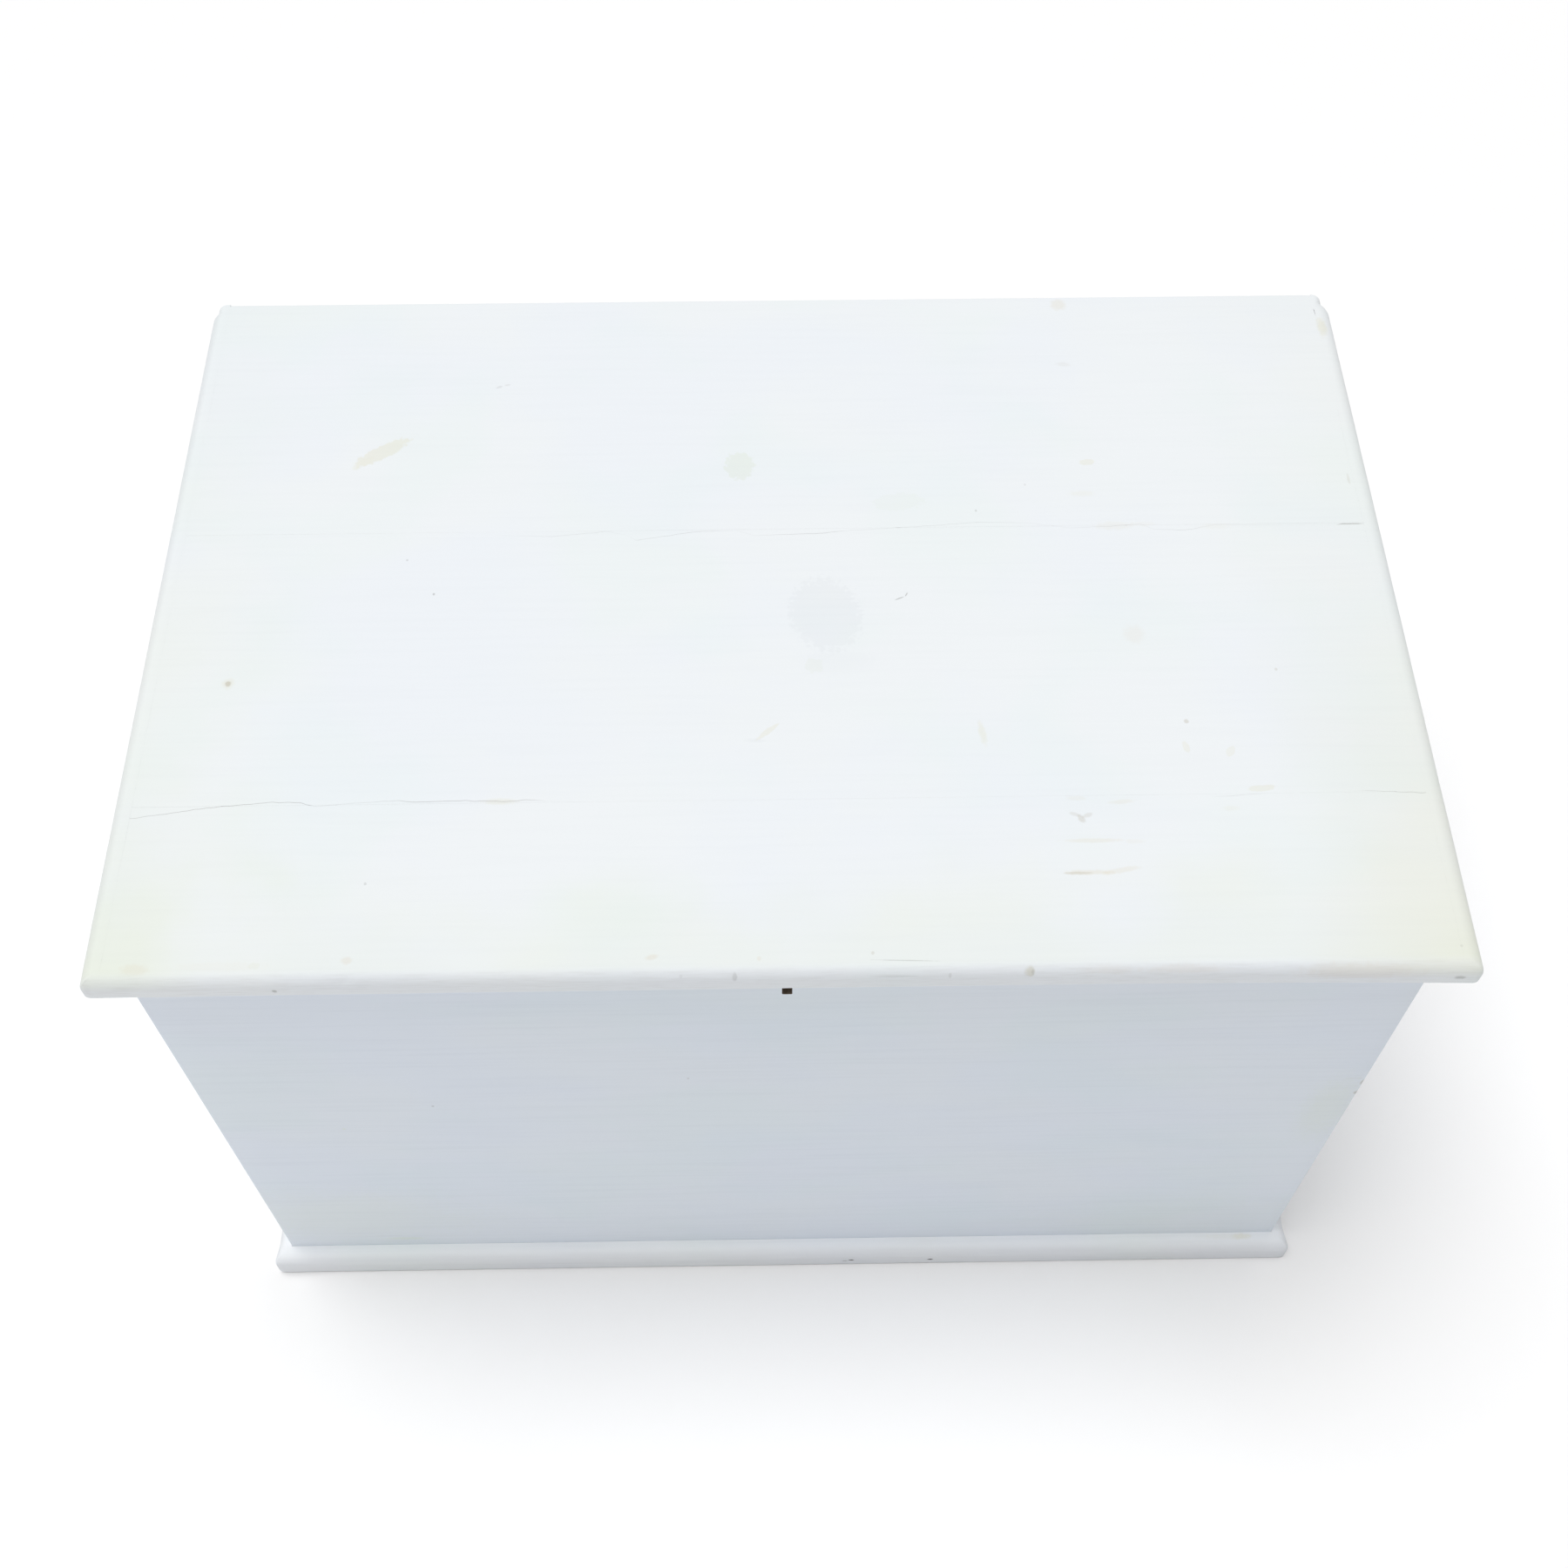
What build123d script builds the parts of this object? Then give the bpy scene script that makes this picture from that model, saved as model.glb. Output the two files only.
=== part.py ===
from build123d import *

import os

# Painted pine blanket chest: dovetailed board case, moulded lid on butt hinges, box lock in the front.
# Millimetres. The origin is on the floor under the middle of the lid. +X is to the right of someone
# who faces the keyhole, +Y is to the back and +Z is up.

# Overall
lid_width = 864.0
lid_depth = 590.0
chest_height = 536.0
lid_side_overhang = 22.0
lid_front_overhang = 20.0
lid_rear_overhang = 18.0

# Boards
lid_thickness = 20.0
wall_thickness = 20.0
bottom_thickness = 16.0
lid_rear_board_width = 231.0
lid_middle_board_width = 227.0
bottom_board_count = 3
tongue_thickness = 5.0
tongue_depth = 6.0

# Dovetails at the case corners
tails_per_board = 4
pin_width = 25.0
dovetail_slope = 1 / 6

# Lid nosing
nosing_width = 14.0
nosing_top_radius = 11.0
nosing_foot_radius = 2.5
lid_front_corner_radius = 5.0
lid_rear_left_corner_radius = 12.0
lid_rear_right_corner_radius = 18.0

# Plinth moulding
plinth_height = 25.0
plinth_front_projection = 14.5
plinth_side_projection = 12.0
plinth_shoulder_radius = 10.0
plinth_toe_radius = 3.0
plinth_corner_radius = 5.0

# Battens under the lid
batten_width = 45.0
batten_thickness = 19.0
batten_side_gap = 30.0
batten_end_gap = 16.0
batten_chamfer = 3.0

# Butt hinges
hinge_inset = 150.0
hinge_length = 76.0
hinge_reach = 20.0
hinge_leaf_thickness = 2.0
hinge_leaf_gap = 0.6
hinge_setback = 4.0
knuckle_count = 5
knuckle_radius = 3.5
knuckle_gap = 0.3
knuckle_clearance = 0.5
hinge_pin_radius = 1.75
hinge_pin_clearance = 0.05
hinge_pin_head_radius = 2.9
hinge_pin_head_height = 1.0
hinge_screw_spacing = 27.0

# Keyhole
keyhole_offset = 2.4
keyhole_drop = 24.0
keyhole_radius = 4.0
keyhole_slot_width = 6.6
keyhole_slot_drop = 12.0
keyhole_corner_radius = 1.0

# Box lock
lock_plate_width = 90.0
lock_plate_height = 50.0
lock_plate_thickness = 2.0
lock_edge_depth = 14.0
lock_depth = 12.0
lock_cap_width = 70.0
lock_cap_height = 40.0
lock_cap_thickness = 1.5
lock_fit = 0.3
key_pin_radius = 1.8
lock_screw_margin = 5.0
lock_back_screw_drop = 30.0

# Bolt, which slides to the right to lock
bolt_travel = 8.0
bolt_thickness = 5.5
bolt_bar_height = 7.5
bolt_post_width = 6.0
bolt_prong_length = 8.5
bolt_prong_height = 4.0
bolt_prong_thickness = 3.0
bolt_tail_length = 19.0
bolt_notch_width = 6.0
bolt_notch_depth = 3.0
bolt_stud_radius = 1.5
bolt_stud_clearance = 0.2
spring_thickness = 0.6
spring_bend_radius = 8.0
spring_width = 4.0
spring_foot_length = 4.0

# Strike plate with two lugs that drop into the lock
strike_width = 70.0
strike_thickness = 2.0
lug_spacing = 32.0
lug_thickness = 3.0
lug_width = 7.0
lug_length = 12.5
lug_eye_width = 4.4
lug_eye_height = 6.0
lug_eye_drop = 4.0
lug_slot_clearance = 0.6
lug_prong_gap = 1.0
strike_screw_inset = 8.0

# Screws and nails
screw_head_radius = 3.6
screw_head_height = 1.8
screw_shank_radius = 1.9
screw_point_length = 3.8
screw_point_radius = 0.5
screw_slot_width = 0.8
screw_slot_depth = 0.7
case_hinge_screw_length = 25.0
lid_hinge_screw_length = 15.0
batten_screw_length = 32.0
lock_screw_length = 14.0
strike_screw_length = 13.0
nail_radius = 1.5
nail_head_radius = 3.2
nail_head_height = 1.2
nail_length = 45.0
nail_sink = 0.5
nail_edge_margin = 30.0
front_nail_count = 7
brad_radius = 0.8
nosing_brad_length = 40.0
plinth_brad_length = 30.0
brad_sink = 3.0
nosing_brad_margin = 60.0
nosing_brad_count = 7
fastener_clearance = 0.05
paired_nail_shares = (0.3, 0.7)
batten_screw_shares = (0.25, 0.75)

# Places that the sizes above give
lid_front = -lid_depth / 2
lid_back = lid_depth / 2
lid_half = lid_width / 2
lid_bottom = chest_height - lid_thickness
panel_front = lid_front + nosing_width
panel_half = lid_half - nosing_width
case_front = lid_front + lid_front_overhang
case_back = lid_back - lid_rear_overhang
case_half = lid_half - lid_side_overhang
inner_front = case_front + wall_thickness
inner_back = case_back - wall_thickness
inner_half = case_half - wall_thickness
wall_joint = (bottom_thickness + lid_bottom) / 2
lid_middle_back = lid_back - lid_rear_board_width
lid_middle_front = lid_middle_back - lid_middle_board_width
lid_middle_height = lid_bottom + lid_thickness / 2
hinge_axis_y = case_back + hinge_setback
hinge_centres = [-(case_half - hinge_inset), case_half - hinge_inset]
keyhole_height = lid_bottom - keyhole_drop
lock_back = inner_front - lock_plate_thickness
lock_front = inner_front - lock_depth
lock_edge_front = inner_front - lock_edge_depth
bolt_back = lock_back - lock_fit
bolt_front = bolt_back - bolt_thickness
prong_middle_y = bolt_front + bolt_prong_thickness / 2
lug_centres = [keyhole_offset - lug_spacing / 2, keyhole_offset + lug_spacing / 2]
lug_foot = lid_bottom - lug_length
lug_eye_middle = lid_bottom - lug_eye_drop - lug_eye_height / 2
bar_top = lug_foot - lug_prong_gap
bar_foot = bar_top - bolt_bar_height
bar_left = lug_centres[0] - lug_thickness / 2 - lug_prong_gap - bolt_prong_length - bolt_post_width
bar_right = keyhole_offset + lug_spacing / 2 + bolt_travel
stud_height = (bar_top + bar_foot) / 2
stud_places = [lug_centres[0] - bolt_travel / 2, lug_centres[1] + bolt_travel / 2]
driven_down = Rot(0, 0, 0)
driven_up = Rot(180, 0, 0)
driven_forward = Rot(-90, 0, 0)


def block(x0, x1, y0, y1, z0, z1):
    """A box between two opposite corners."""
    return Pos((x0 + x1) / 2, (y0 + y1) / 2, (z0 + z1) / 2) * Box(x1 - x0, y1 - y0, z1 - z0)


def rod(start, direction, radius, length):
    """A round rod that starts at a point and runs along a direction."""
    at_start = (Align.CENTER, Align.CENTER, Align.MIN)
    return Plane(origin=start, z_dir=direction) * Cylinder(radius, length, align=at_start)


def plan_prism(points, z0, z1):
    """A plan outline raised from z0 to z1."""
    return extrude(Pos(0, 0, z0) * Polygon(*points, align=None), z1 - z0, dir=(0, 0, 1))


def front_prism(face, y0, y1):
    """A face drawn in X and Z, carried from y0 back to y1."""
    return extrude(Plane.XZ.offset(-y1) * face, y1 - y0, dir=(0, -1, 0))


def spaced(first, last, count):
    """Evenly spaced places with both ends used."""
    step = (last - first) / (count - 1)
    return [first + step * i for i in range(count)]


def screw(length):
    """A slotted countersunk screw whose head is level with the origin and whose point is below it."""
    head = Pos(0, 0, -screw_head_height / 2) * Cone(screw_shank_radius, screw_head_radius, screw_head_height)
    shank_foot = length - screw_point_length
    shank = Pos(0, 0, -(screw_head_height + shank_foot) / 2)
    shank = shank * Cylinder(screw_shank_radius, shank_foot - screw_head_height)
    point = Pos(0, 0, -(shank_foot + length) / 2)
    point = point * Cone(screw_point_radius, screw_shank_radius, screw_point_length)
    slot_half = screw_slot_width / 2
    slot = block(-screw_head_radius, screw_head_radius, -slot_half, slot_half, -screw_slot_depth, 0)
    return head + shank + point - slot


def screw_hole(length):
    """The countersunk hole that a screw of that length sits in."""
    shank_radius = screw_shank_radius + fastener_clearance
    head_radius = screw_head_radius + fastener_clearance
    head = Pos(0, 0, -screw_head_height / 2) * Cone(shank_radius, head_radius, screw_head_height)
    shank = Pos(0, 0, -length / 2) * Cylinder(shank_radius, length + fastener_clearance)
    return head + shank


def nail(clearance=0.0):
    """A flat-headed nail driven upward from the underside of the bottom, or the hole for it."""
    head = rod((0, 0, nail_sink), (0, 0, 1), nail_head_radius + clearance, nail_head_height + clearance)
    shank = rod((0, 0, nail_sink), (0, 0, 1), nail_radius + clearance, nail_length + clearance)
    sink = rod((0, 0, 0), (0, 0, 1), nail_head_radius + clearance, nail_sink)
    return head + shank + sink if clearance else head + shank


def pin_face(side, middle, low, high):
    """The front view of one dovetail pin, cut off at the edges of its board."""
    outer = pin_width / 2
    inner = outer + dovetail_slope * wall_thickness
    corners = [
        (side * inner_half, max(low, middle - inner)),
        (side * case_half, max(low, middle - outer)),
        (side * case_half, min(high, middle + outer)),
        (side * inner_half, min(high, middle + inner)),
    ]
    return Polygon(*corners, align=None)


def pins(side, y0, y1, low, high):
    """The row of pins between two heights at one corner, with a half pin at each board edge."""
    middles = spaced(low, high, tails_per_board + 1)
    return [front_prism(pin_face(side, middle, low, high), y0, y1) for middle in middles]


def long_wall(y0, y1, low, high):
    """A front or back board: its tails are what is left beside the pins."""
    board = block(-case_half, case_half, y0, y1, low, high)
    return board - pins(-1, y0, y1, low, high) - pins(1, y0, y1, low, high)


def end_wall(side, low, high):
    """A left or right board with its pins at the front and the back."""
    edges = sorted((side * inner_half, side * case_half))
    board = block(edges[0], edges[1], inner_front, inner_back, low, high)
    board += pins(side, case_front, inner_front, low, high)
    return board + pins(side, inner_back, case_back, low, high)


def bottom_edges():
    """Where the bottom boards meet, from the front of the case to its back."""
    return spaced(case_front, case_back, bottom_board_count + 1)


def tongue(edge):
    """The tongue that runs along the back of a bottom board."""
    middle = bottom_thickness / 2
    half = tongue_thickness / 2
    return block(-case_half, case_half, edge, edge + tongue_depth, middle - half, middle + half)


def bottom_board(index):
    """One bottom board, tongued at its back edge and grooved at its front edge."""
    edges = bottom_edges()
    board = block(-case_half, case_half, edges[index], edges[index + 1], 0, bottom_thickness)
    if index > 0:
        board -= tongue(edges[index])
    if index < bottom_board_count - 1:
        board += tongue(edges[index + 1])
    return board


def bottom_nail_places():
    """Nails up into all four walls, two to a board at each end."""
    long_rows = spaced(-case_half + nail_edge_margin, case_half - nail_edge_margin, front_nail_count)
    wall_middles = ((case_front + inner_front) / 2, (case_back + inner_back) / 2)
    places = [(x, y) for x in long_rows for y in wall_middles]
    edges = bottom_edges()
    for low, high in zip(edges, edges[1:]):
        for share in paired_nail_shares:
            y = low + (high - low) * share
            places += [(-(case_half + inner_half) / 2, y), ((case_half + inner_half) / 2, y)]
    return places


def strip(face, outward, start, length):
    """A moulding: a face drawn with X outward and Y up, run level from a starting point."""
    along = Vector(*outward).cross(Vector(0, 0, 1))
    return extrude(Plane(origin=start, x_dir=outward, z_dir=along) * face, length, dir=along)


def mitred_front(face, corner, projections, low, high):
    """A moulding along the front, mitred at both ends. projections are those of the sides and the front."""
    half, front = corner
    outer = half + projections[0]
    nose = front - projections[1]
    run = strip(face, (0, -1, 0), (outer, front, 0), 2 * outer)
    return run & plan_prism([(-half, front), (half, front), (outer, nose), (-outer, nose)], low, high)


def mitred_side(face, side, corner, back, projections, low, high):
    """A moulding along one side, mitred at the front and square at the back."""
    half, front = corner
    outer = side * (half + projections[0])
    nose = front - projections[1]
    start_y = nose if side < 0 else back
    run = strip(face, (side, 0, 0), (side * half, start_y, 0), back - nose)
    outline = [(side * half, front), (outer, nose), (outer, back), (side * half, back)]
    return run & plan_prism(outline, low, high)


def moulding_face(width, low, high, top_radius, foot_radius):
    """A moulding in section: a board's edge with a broad rounded top and a small rounded foot."""
    body = Pos(width / 2, (low + high) / 2) * Rectangle(width, high - low)
    foot = body.vertices().group_by(Axis.X)[-1].sort_by(Axis.Y)[0]
    body = fillet(foot, foot_radius)
    top = body.vertices().group_by(Axis.Y)[-1].sort_by(Axis.X)[-1]
    return fillet(top, top_radius)


def nosing_face():
    """The lid nosing in section."""
    return moulding_face(nosing_width, lid_bottom, chest_height, nosing_top_radius, nosing_foot_radius)


def plinth_face(projection):
    """The plinth in section."""
    return moulding_face(projection, 0, plinth_height, plinth_shoulder_radius, plinth_toe_radius)


def lid_outline():
    """The lid's plan with its rounded corners, as a prism through the lid's thickness."""
    plan = Rectangle(lid_width, lid_depth)
    corners = [
        (lid_half, lid_back, lid_rear_right_corner_radius),
        (-lid_half, lid_back, lid_rear_left_corner_radius),
        (lid_half, lid_front, lid_front_corner_radius),
        (-lid_half, lid_front, lid_front_corner_radius),
    ]
    for x, y, radius in corners:
        plan = fillet(plan.vertices().sort_by_distance((x, y, 0))[0], radius)
    return extrude(Pos(0, 0, lid_bottom) * plan, lid_thickness)


def plinth_outline():
    """The plinth's plan with its rounded front corners, as a prism over its height."""
    half = case_half + plinth_side_projection
    front = case_front - plinth_front_projection
    plan = Pos(0, (front + case_back) / 2) * Rectangle(2 * half, case_back - front)
    for x in (-half, half):
        plan = fillet(plan.vertices().sort_by_distance((x, front, 0))[0], plinth_corner_radius)
    return extrude(plan, plinth_height)


def nosing_brads():
    """Brads through the nosing into the lid boards, as start points and directions."""
    brads = []
    for x in spaced(-panel_half + nosing_brad_margin, panel_half - nosing_brad_margin, nosing_brad_count):
        brads.append(((x, lid_front + brad_sink, lid_middle_height), (0, 1, 0)))
    edges = [panel_front, lid_middle_front, lid_middle_back, lid_back]
    for low, high in zip(edges, edges[1:]):
        for share in paired_nail_shares:
            y = low + (high - low) * share
            brads.append(((lid_half - brad_sink, y, lid_middle_height), (-1, 0, 0)))
            brads.append(((-lid_half + brad_sink, y, lid_middle_height), (1, 0, 0)))
    return brads


def plinth_brads():
    """Brads through the plinth into the bottom boards, each midway between two nails."""
    height = bottom_thickness / 2
    front = case_front - plinth_front_projection + brad_sink
    brads = []
    rows = spaced(-case_half + nail_edge_margin, case_half - nail_edge_margin, front_nail_count)
    for left, right in zip(rows, rows[1:]):
        brads.append((((left + right) / 2, front, height), (0, 1, 0)))
    edges = bottom_edges()
    outer = case_half + plinth_side_projection - brad_sink
    for low, high in zip(edges, edges[1:]):
        brads.append(((outer, (low + high) / 2, height), (-1, 0, 0)))
        brads.append(((-outer, (low + high) / 2, height), (1, 0, 0)))
    return brads


def rods(places, radius, length):
    """One rod for each start point and direction."""
    return [rod(start, direction, radius, length) for start, direction in places]


def batten(side):
    """A batten across the lid boards, chamfered all round its lower face."""
    outer = inner_half - batten_side_gap
    edges = sorted((side * outer, side * (outer - batten_width)))
    front = inner_front + batten_end_gap
    back = inner_back - batten_end_gap
    body = block(edges[0], edges[1], front, back, lid_bottom - batten_thickness, lid_bottom)
    return chamfer(body.faces().sort_by(Axis.Z)[0].edges(), batten_chamfer)


def batten_screws():
    """Where the batten screws go: two through each batten into each lid board."""
    middle = inner_half - batten_side_gap - batten_width / 2
    front = inner_front + batten_end_gap
    back = inner_back - batten_end_gap
    edges = [front, lid_middle_front, lid_middle_back, back]
    places = []
    for low, high in zip(edges, edges[1:]):
        for share in batten_screw_shares:
            for x in (-middle, middle):
                places.append(Pos(x, low + (high - low) * share, lid_bottom - batten_thickness) * driven_up)
    return places


def knuckle_segments(centre):
    """The left and right end of each hinge knuckle along the pin."""
    length = (hinge_length - (knuckle_count - 1) * knuckle_gap) / knuckle_count
    starts = [centre - hinge_length / 2 + i * (length + knuckle_gap) for i in range(knuckle_count)]
    return [(start, start + length) for start in starts]


def hinge_leaf(centre, on_lid):
    """One leaf with its own knuckles. The lid's leaf has the even ones out, the case's the odd ones."""
    level = lid_bottom + (1 if on_lid else -1) * (hinge_leaf_gap + hinge_leaf_thickness) / 2
    low = level - hinge_leaf_thickness / 2
    high = level + hinge_leaf_thickness / 2
    half = hinge_length / 2
    edge = hinge_axis_y - knuckle_radius - knuckle_gap
    leaf = block(centre - half, centre + half, hinge_axis_y - hinge_reach, edge, low, high)
    for left, right in knuckle_segments(centre)[int(on_lid)::2]:
        leaf += block(left, right, edge, hinge_axis_y, low, high)
        leaf += rod((left, hinge_axis_y, lid_bottom), (1, 0, 0), knuckle_radius, right - left)
    bore_radius = hinge_pin_radius + hinge_pin_clearance
    return leaf - rod((centre - half, hinge_axis_y, lid_bottom), (1, 0, 0), bore_radius, hinge_length)


def hinge_pin(centre):
    """The pin through all the knuckles, with a small head at each end."""
    half = hinge_length / 2
    pin = rod((centre - half, hinge_axis_y, lid_bottom), (1, 0, 0), hinge_pin_radius, hinge_length)
    for start, direction in ((centre - half, -1), (centre + half, 1)):
        point = (start, hinge_axis_y, lid_bottom)
        pin += rod(point, (direction, 0, 0), hinge_pin_head_radius, hinge_pin_head_height)
    return pin


def hinge_screws(centre, on_lid):
    """Where the screws of one leaf go, their heads level with its outer face."""
    y = hinge_axis_y - (hinge_reach + knuckle_radius) / 2
    level = lid_bottom + (hinge_leaf_gap / 2 if on_lid else -hinge_leaf_gap / 2)
    turn = driven_up if on_lid else driven_down
    return [Pos(centre + step * hinge_screw_spacing, y, level) * turn for step in (-1, 0, 1)]


def leaf_housing(centre, on_lid):
    """What is cut from the wood for one leaf, and on the lid also for the knuckles."""
    half = hinge_length / 2 + fastener_clearance
    depth = hinge_leaf_gap / 2 + hinge_leaf_thickness
    inner = hinge_axis_y - hinge_reach - fastener_clearance
    if not on_lid:
        return [block(centre - half, centre + half, inner, case_back, lid_bottom - depth, lid_bottom)]
    round_half = hinge_length / 2 + hinge_pin_head_height + knuckle_clearance
    reach = knuckle_radius + knuckle_clearance
    near = hinge_axis_y - reach
    far = hinge_axis_y + reach
    leaf = block(centre - half, centre + half, inner, near, lid_bottom, lid_bottom + depth)
    knuckle = block(centre - round_half, centre + round_half, near, far, lid_bottom, lid_bottom + reach)
    return [leaf, knuckle]


def keyhole_face():
    """The keyhole seen from the front: a round with a slot below it."""
    top = keyhole_height
    foot = keyhole_height - keyhole_slot_drop
    slot = Pos(keyhole_offset, (top + foot) / 2) * Rectangle(keyhole_slot_width, top - foot)
    slot = fillet(slot.vertices().group_by(Axis.Y)[0], keyhole_corner_radius)
    return slot + Pos(keyhole_offset, keyhole_height) * Circle(keyhole_radius)


def lock_housing():
    """What is cut from the front board for the lock: plate rebate, edge rebate, case pocket and keyhole."""
    plate = lock_plate_width / 2 + fastener_clearance
    pocket = lock_cap_width / 2 + lock_fit
    plate_foot = lid_bottom - lock_plate_height - fastener_clearance
    cap_foot = lid_bottom - lock_plate_thickness - lock_cap_height - lock_fit
    edge_low = lid_bottom - lock_plate_thickness
    x = keyhole_offset
    return [
        block(x - plate, x + plate, lock_back, inner_front, plate_foot, lid_bottom),
        block(x - plate, x + plate, lock_edge_front - fastener_clearance, inner_front, edge_low, lid_bottom),
        block(x - pocket, x + pocket, lock_front - lock_fit, lock_back, cap_foot, lid_bottom),
        front_prism(keyhole_face(), case_front, lock_front),
    ]


def lock_screws():
    """Where the lock's screws go: two down through its edge plate, two forward through its back plate."""
    places = []
    for side in (-1, 1):
        x = keyhole_offset + side * (lock_plate_width / 2 - lock_screw_margin)
        places.append(Pos(x, inner_front - lock_edge_depth / 2, lid_bottom) * driven_down)
        places.append(Pos(x, inner_front, lid_bottom - lock_back_screw_drop) * driven_forward)
    return places


def lug_slot(centre):
    """The slot in the lock's edge plate that one lug drops through."""
    half_x = lug_thickness / 2 + lug_slot_clearance
    half_y = lug_width / 2 + lug_slot_clearance
    near = prong_middle_y - half_y
    far = prong_middle_y + half_y
    return block(centre - half_x, centre + half_x, near, far, lid_bottom - lock_plate_thickness, lid_bottom)


def lock_back_plate():
    """The back plate and edge plate in one bend, with the two studs that the bolt slides on."""
    half = lock_plate_width / 2
    x = keyhole_offset
    foot = lid_bottom - lock_plate_height
    edge_low = lid_bottom - lock_plate_thickness
    stud_length = bolt_thickness + 2 * lock_fit
    plate = block(x - half, x + half, lock_back, inner_front, foot, lid_bottom)
    plate += block(x - half, x + half, lock_edge_front, inner_front, edge_low, lid_bottom)
    for place in stud_places:
        plate += rod((place, lock_back, stud_height), (0, -1, 0), bolt_stud_radius, stud_length)
    return plate - [lug_slot(centre) for centre in lug_centres]


def lock_cap():
    """The shallow box that covers the works from the front, open at the top and the back."""
    half = lock_cap_width / 2
    x = keyhole_offset
    top = lid_bottom - lock_plate_thickness
    foot = top - lock_cap_height
    wall = lock_cap_thickness
    shell = block(x - half, x + half, lock_front, lock_back, foot, top)
    shell -= block(x - half + wall, x + half - wall, lock_front + wall, lock_back, foot + wall, top)
    return shell - front_prism(keyhole_face(), lock_front, lock_front + wall)


def lock_key_pin():
    """The pin that a pipe key turns on."""
    start = (keyhole_offset, lock_back, keyhole_height)
    return rod(start, (0, -1, 0), key_pin_radius, lock_depth - lock_plate_thickness)


def lock_bolt():
    """The sliding bolt: a slotted bar with two posts, each with a prong that points to its lug."""
    half_prong = bolt_prong_height / 2
    bolt = block(bar_left, bar_right, bolt_front, bolt_back, bar_foot, bar_top)
    for centre in lug_centres:
        tip = centre - lug_thickness / 2 - lug_prong_gap
        root = tip - bolt_prong_length
        low = lug_eye_middle - half_prong
        high = lug_eye_middle + half_prong
        bolt += block(root - bolt_post_width, root, bolt_front, bolt_back, bar_top, high)
        bolt += block(root, tip, bolt_front, bolt_front + bolt_prong_thickness, low, high)
    slot_half = bolt_stud_radius + bolt_stud_clearance
    for place in stud_places:
        left = place - bolt_travel - slot_half
        right = place + slot_half
        bolt -= block(left, right, bolt_front, bolt_back, stud_height - slot_half, stud_height + slot_half)
    notch_middle = keyhole_offset - bolt_travel / 2
    notch_left = notch_middle - bolt_notch_width / 2
    notch_right = notch_middle + bolt_notch_width / 2
    return bolt - block(notch_left, notch_right, bolt_front, bolt_back, bar_foot, bar_foot + bolt_notch_depth)


def bolt_spring():
    """The hooked spring under the bolt's left end, which rubs on the floor of the cap."""
    root = bar_left + spring_foot_length
    outer = spring_bend_radius
    inner = outer - spring_thickness
    floor = lid_bottom - lock_plate_thickness - lock_cap_height + lock_cap_thickness + bolt_stud_clearance
    middle_y = (bolt_front + bolt_back) / 2
    bend_low = bar_foot - outer
    bend = Pos(root, bend_low) * (Circle(outer) - Circle(inner))
    bend &= Pos(root + outer / 2, bend_low + outer / 2) * Rectangle(outer, outer)
    foot = Pos((bar_left + root) / 2, bar_foot - spring_thickness / 2)
    foot = foot * Rectangle(root - bar_left, spring_thickness)
    leg_middle = root + outer - spring_thickness / 2
    leg = Pos(leg_middle, (bend_low + floor) / 2) * Rectangle(spring_thickness, bend_low - floor)
    return front_prism(bend + foot + leg, middle_y - spring_width / 2, middle_y + spring_width / 2)


def strike_plate():
    """The plate let into the lid, with two lugs whose eyes take the bolt's prongs."""
    half = strike_width / 2
    x = keyhole_offset
    plate = block(x - half, x + half, lock_edge_front, inner_front, lid_bottom, lid_bottom + strike_thickness)
    for centre in lug_centres:
        left = centre - lug_thickness / 2
        right = centre + lug_thickness / 2
        near = prong_middle_y - lug_width / 2
        far = prong_middle_y + lug_width / 2
        plate += block(left, right, near, far, lug_foot, lid_bottom)
        eye_low = lug_eye_middle - lug_eye_height / 2
        eye_high = lug_eye_middle + lug_eye_height / 2
        eye = lug_eye_width / 2
        plate -= block(left, right, prong_middle_y - eye, prong_middle_y + eye, eye_low, eye_high)
    return plate


def strike_housing():
    """What is cut from the lid for the strike plate."""
    half = strike_width / 2 + fastener_clearance
    x = keyhole_offset
    near = lock_edge_front - fastener_clearance
    far = inner_front + fastener_clearance
    return block(x - half, x + half, near, far, lid_bottom, lid_bottom + strike_thickness)


def strike_screws():
    """Where the strike plate's screws go."""
    reach = strike_width / 2 - strike_screw_inset
    y = inner_front - lock_edge_depth / 2
    return [Pos(keyhole_offset + side * reach, y, lid_bottom) * driven_up for side in (-1, 1)]


def screw_places(on_lid):
    """Where the screws of both hinges' case leaves, or of both their lid leaves, go."""
    return [place for x in hinge_centres for place in hinge_screws(x, on_lid)]


def screw_holes(places, length):
    """The hole for each screw of one length."""
    return [place * screw_hole(length) for place in places]


def screws(places, length):
    """All the screws of one length as one group."""
    return Compound(children=[place * screw(length) for place in places])


def brad_holes(places, length):
    """The hole for each brad of one length."""
    return rods(places, brad_radius + fastener_clearance, length + fastener_clearance)


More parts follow.
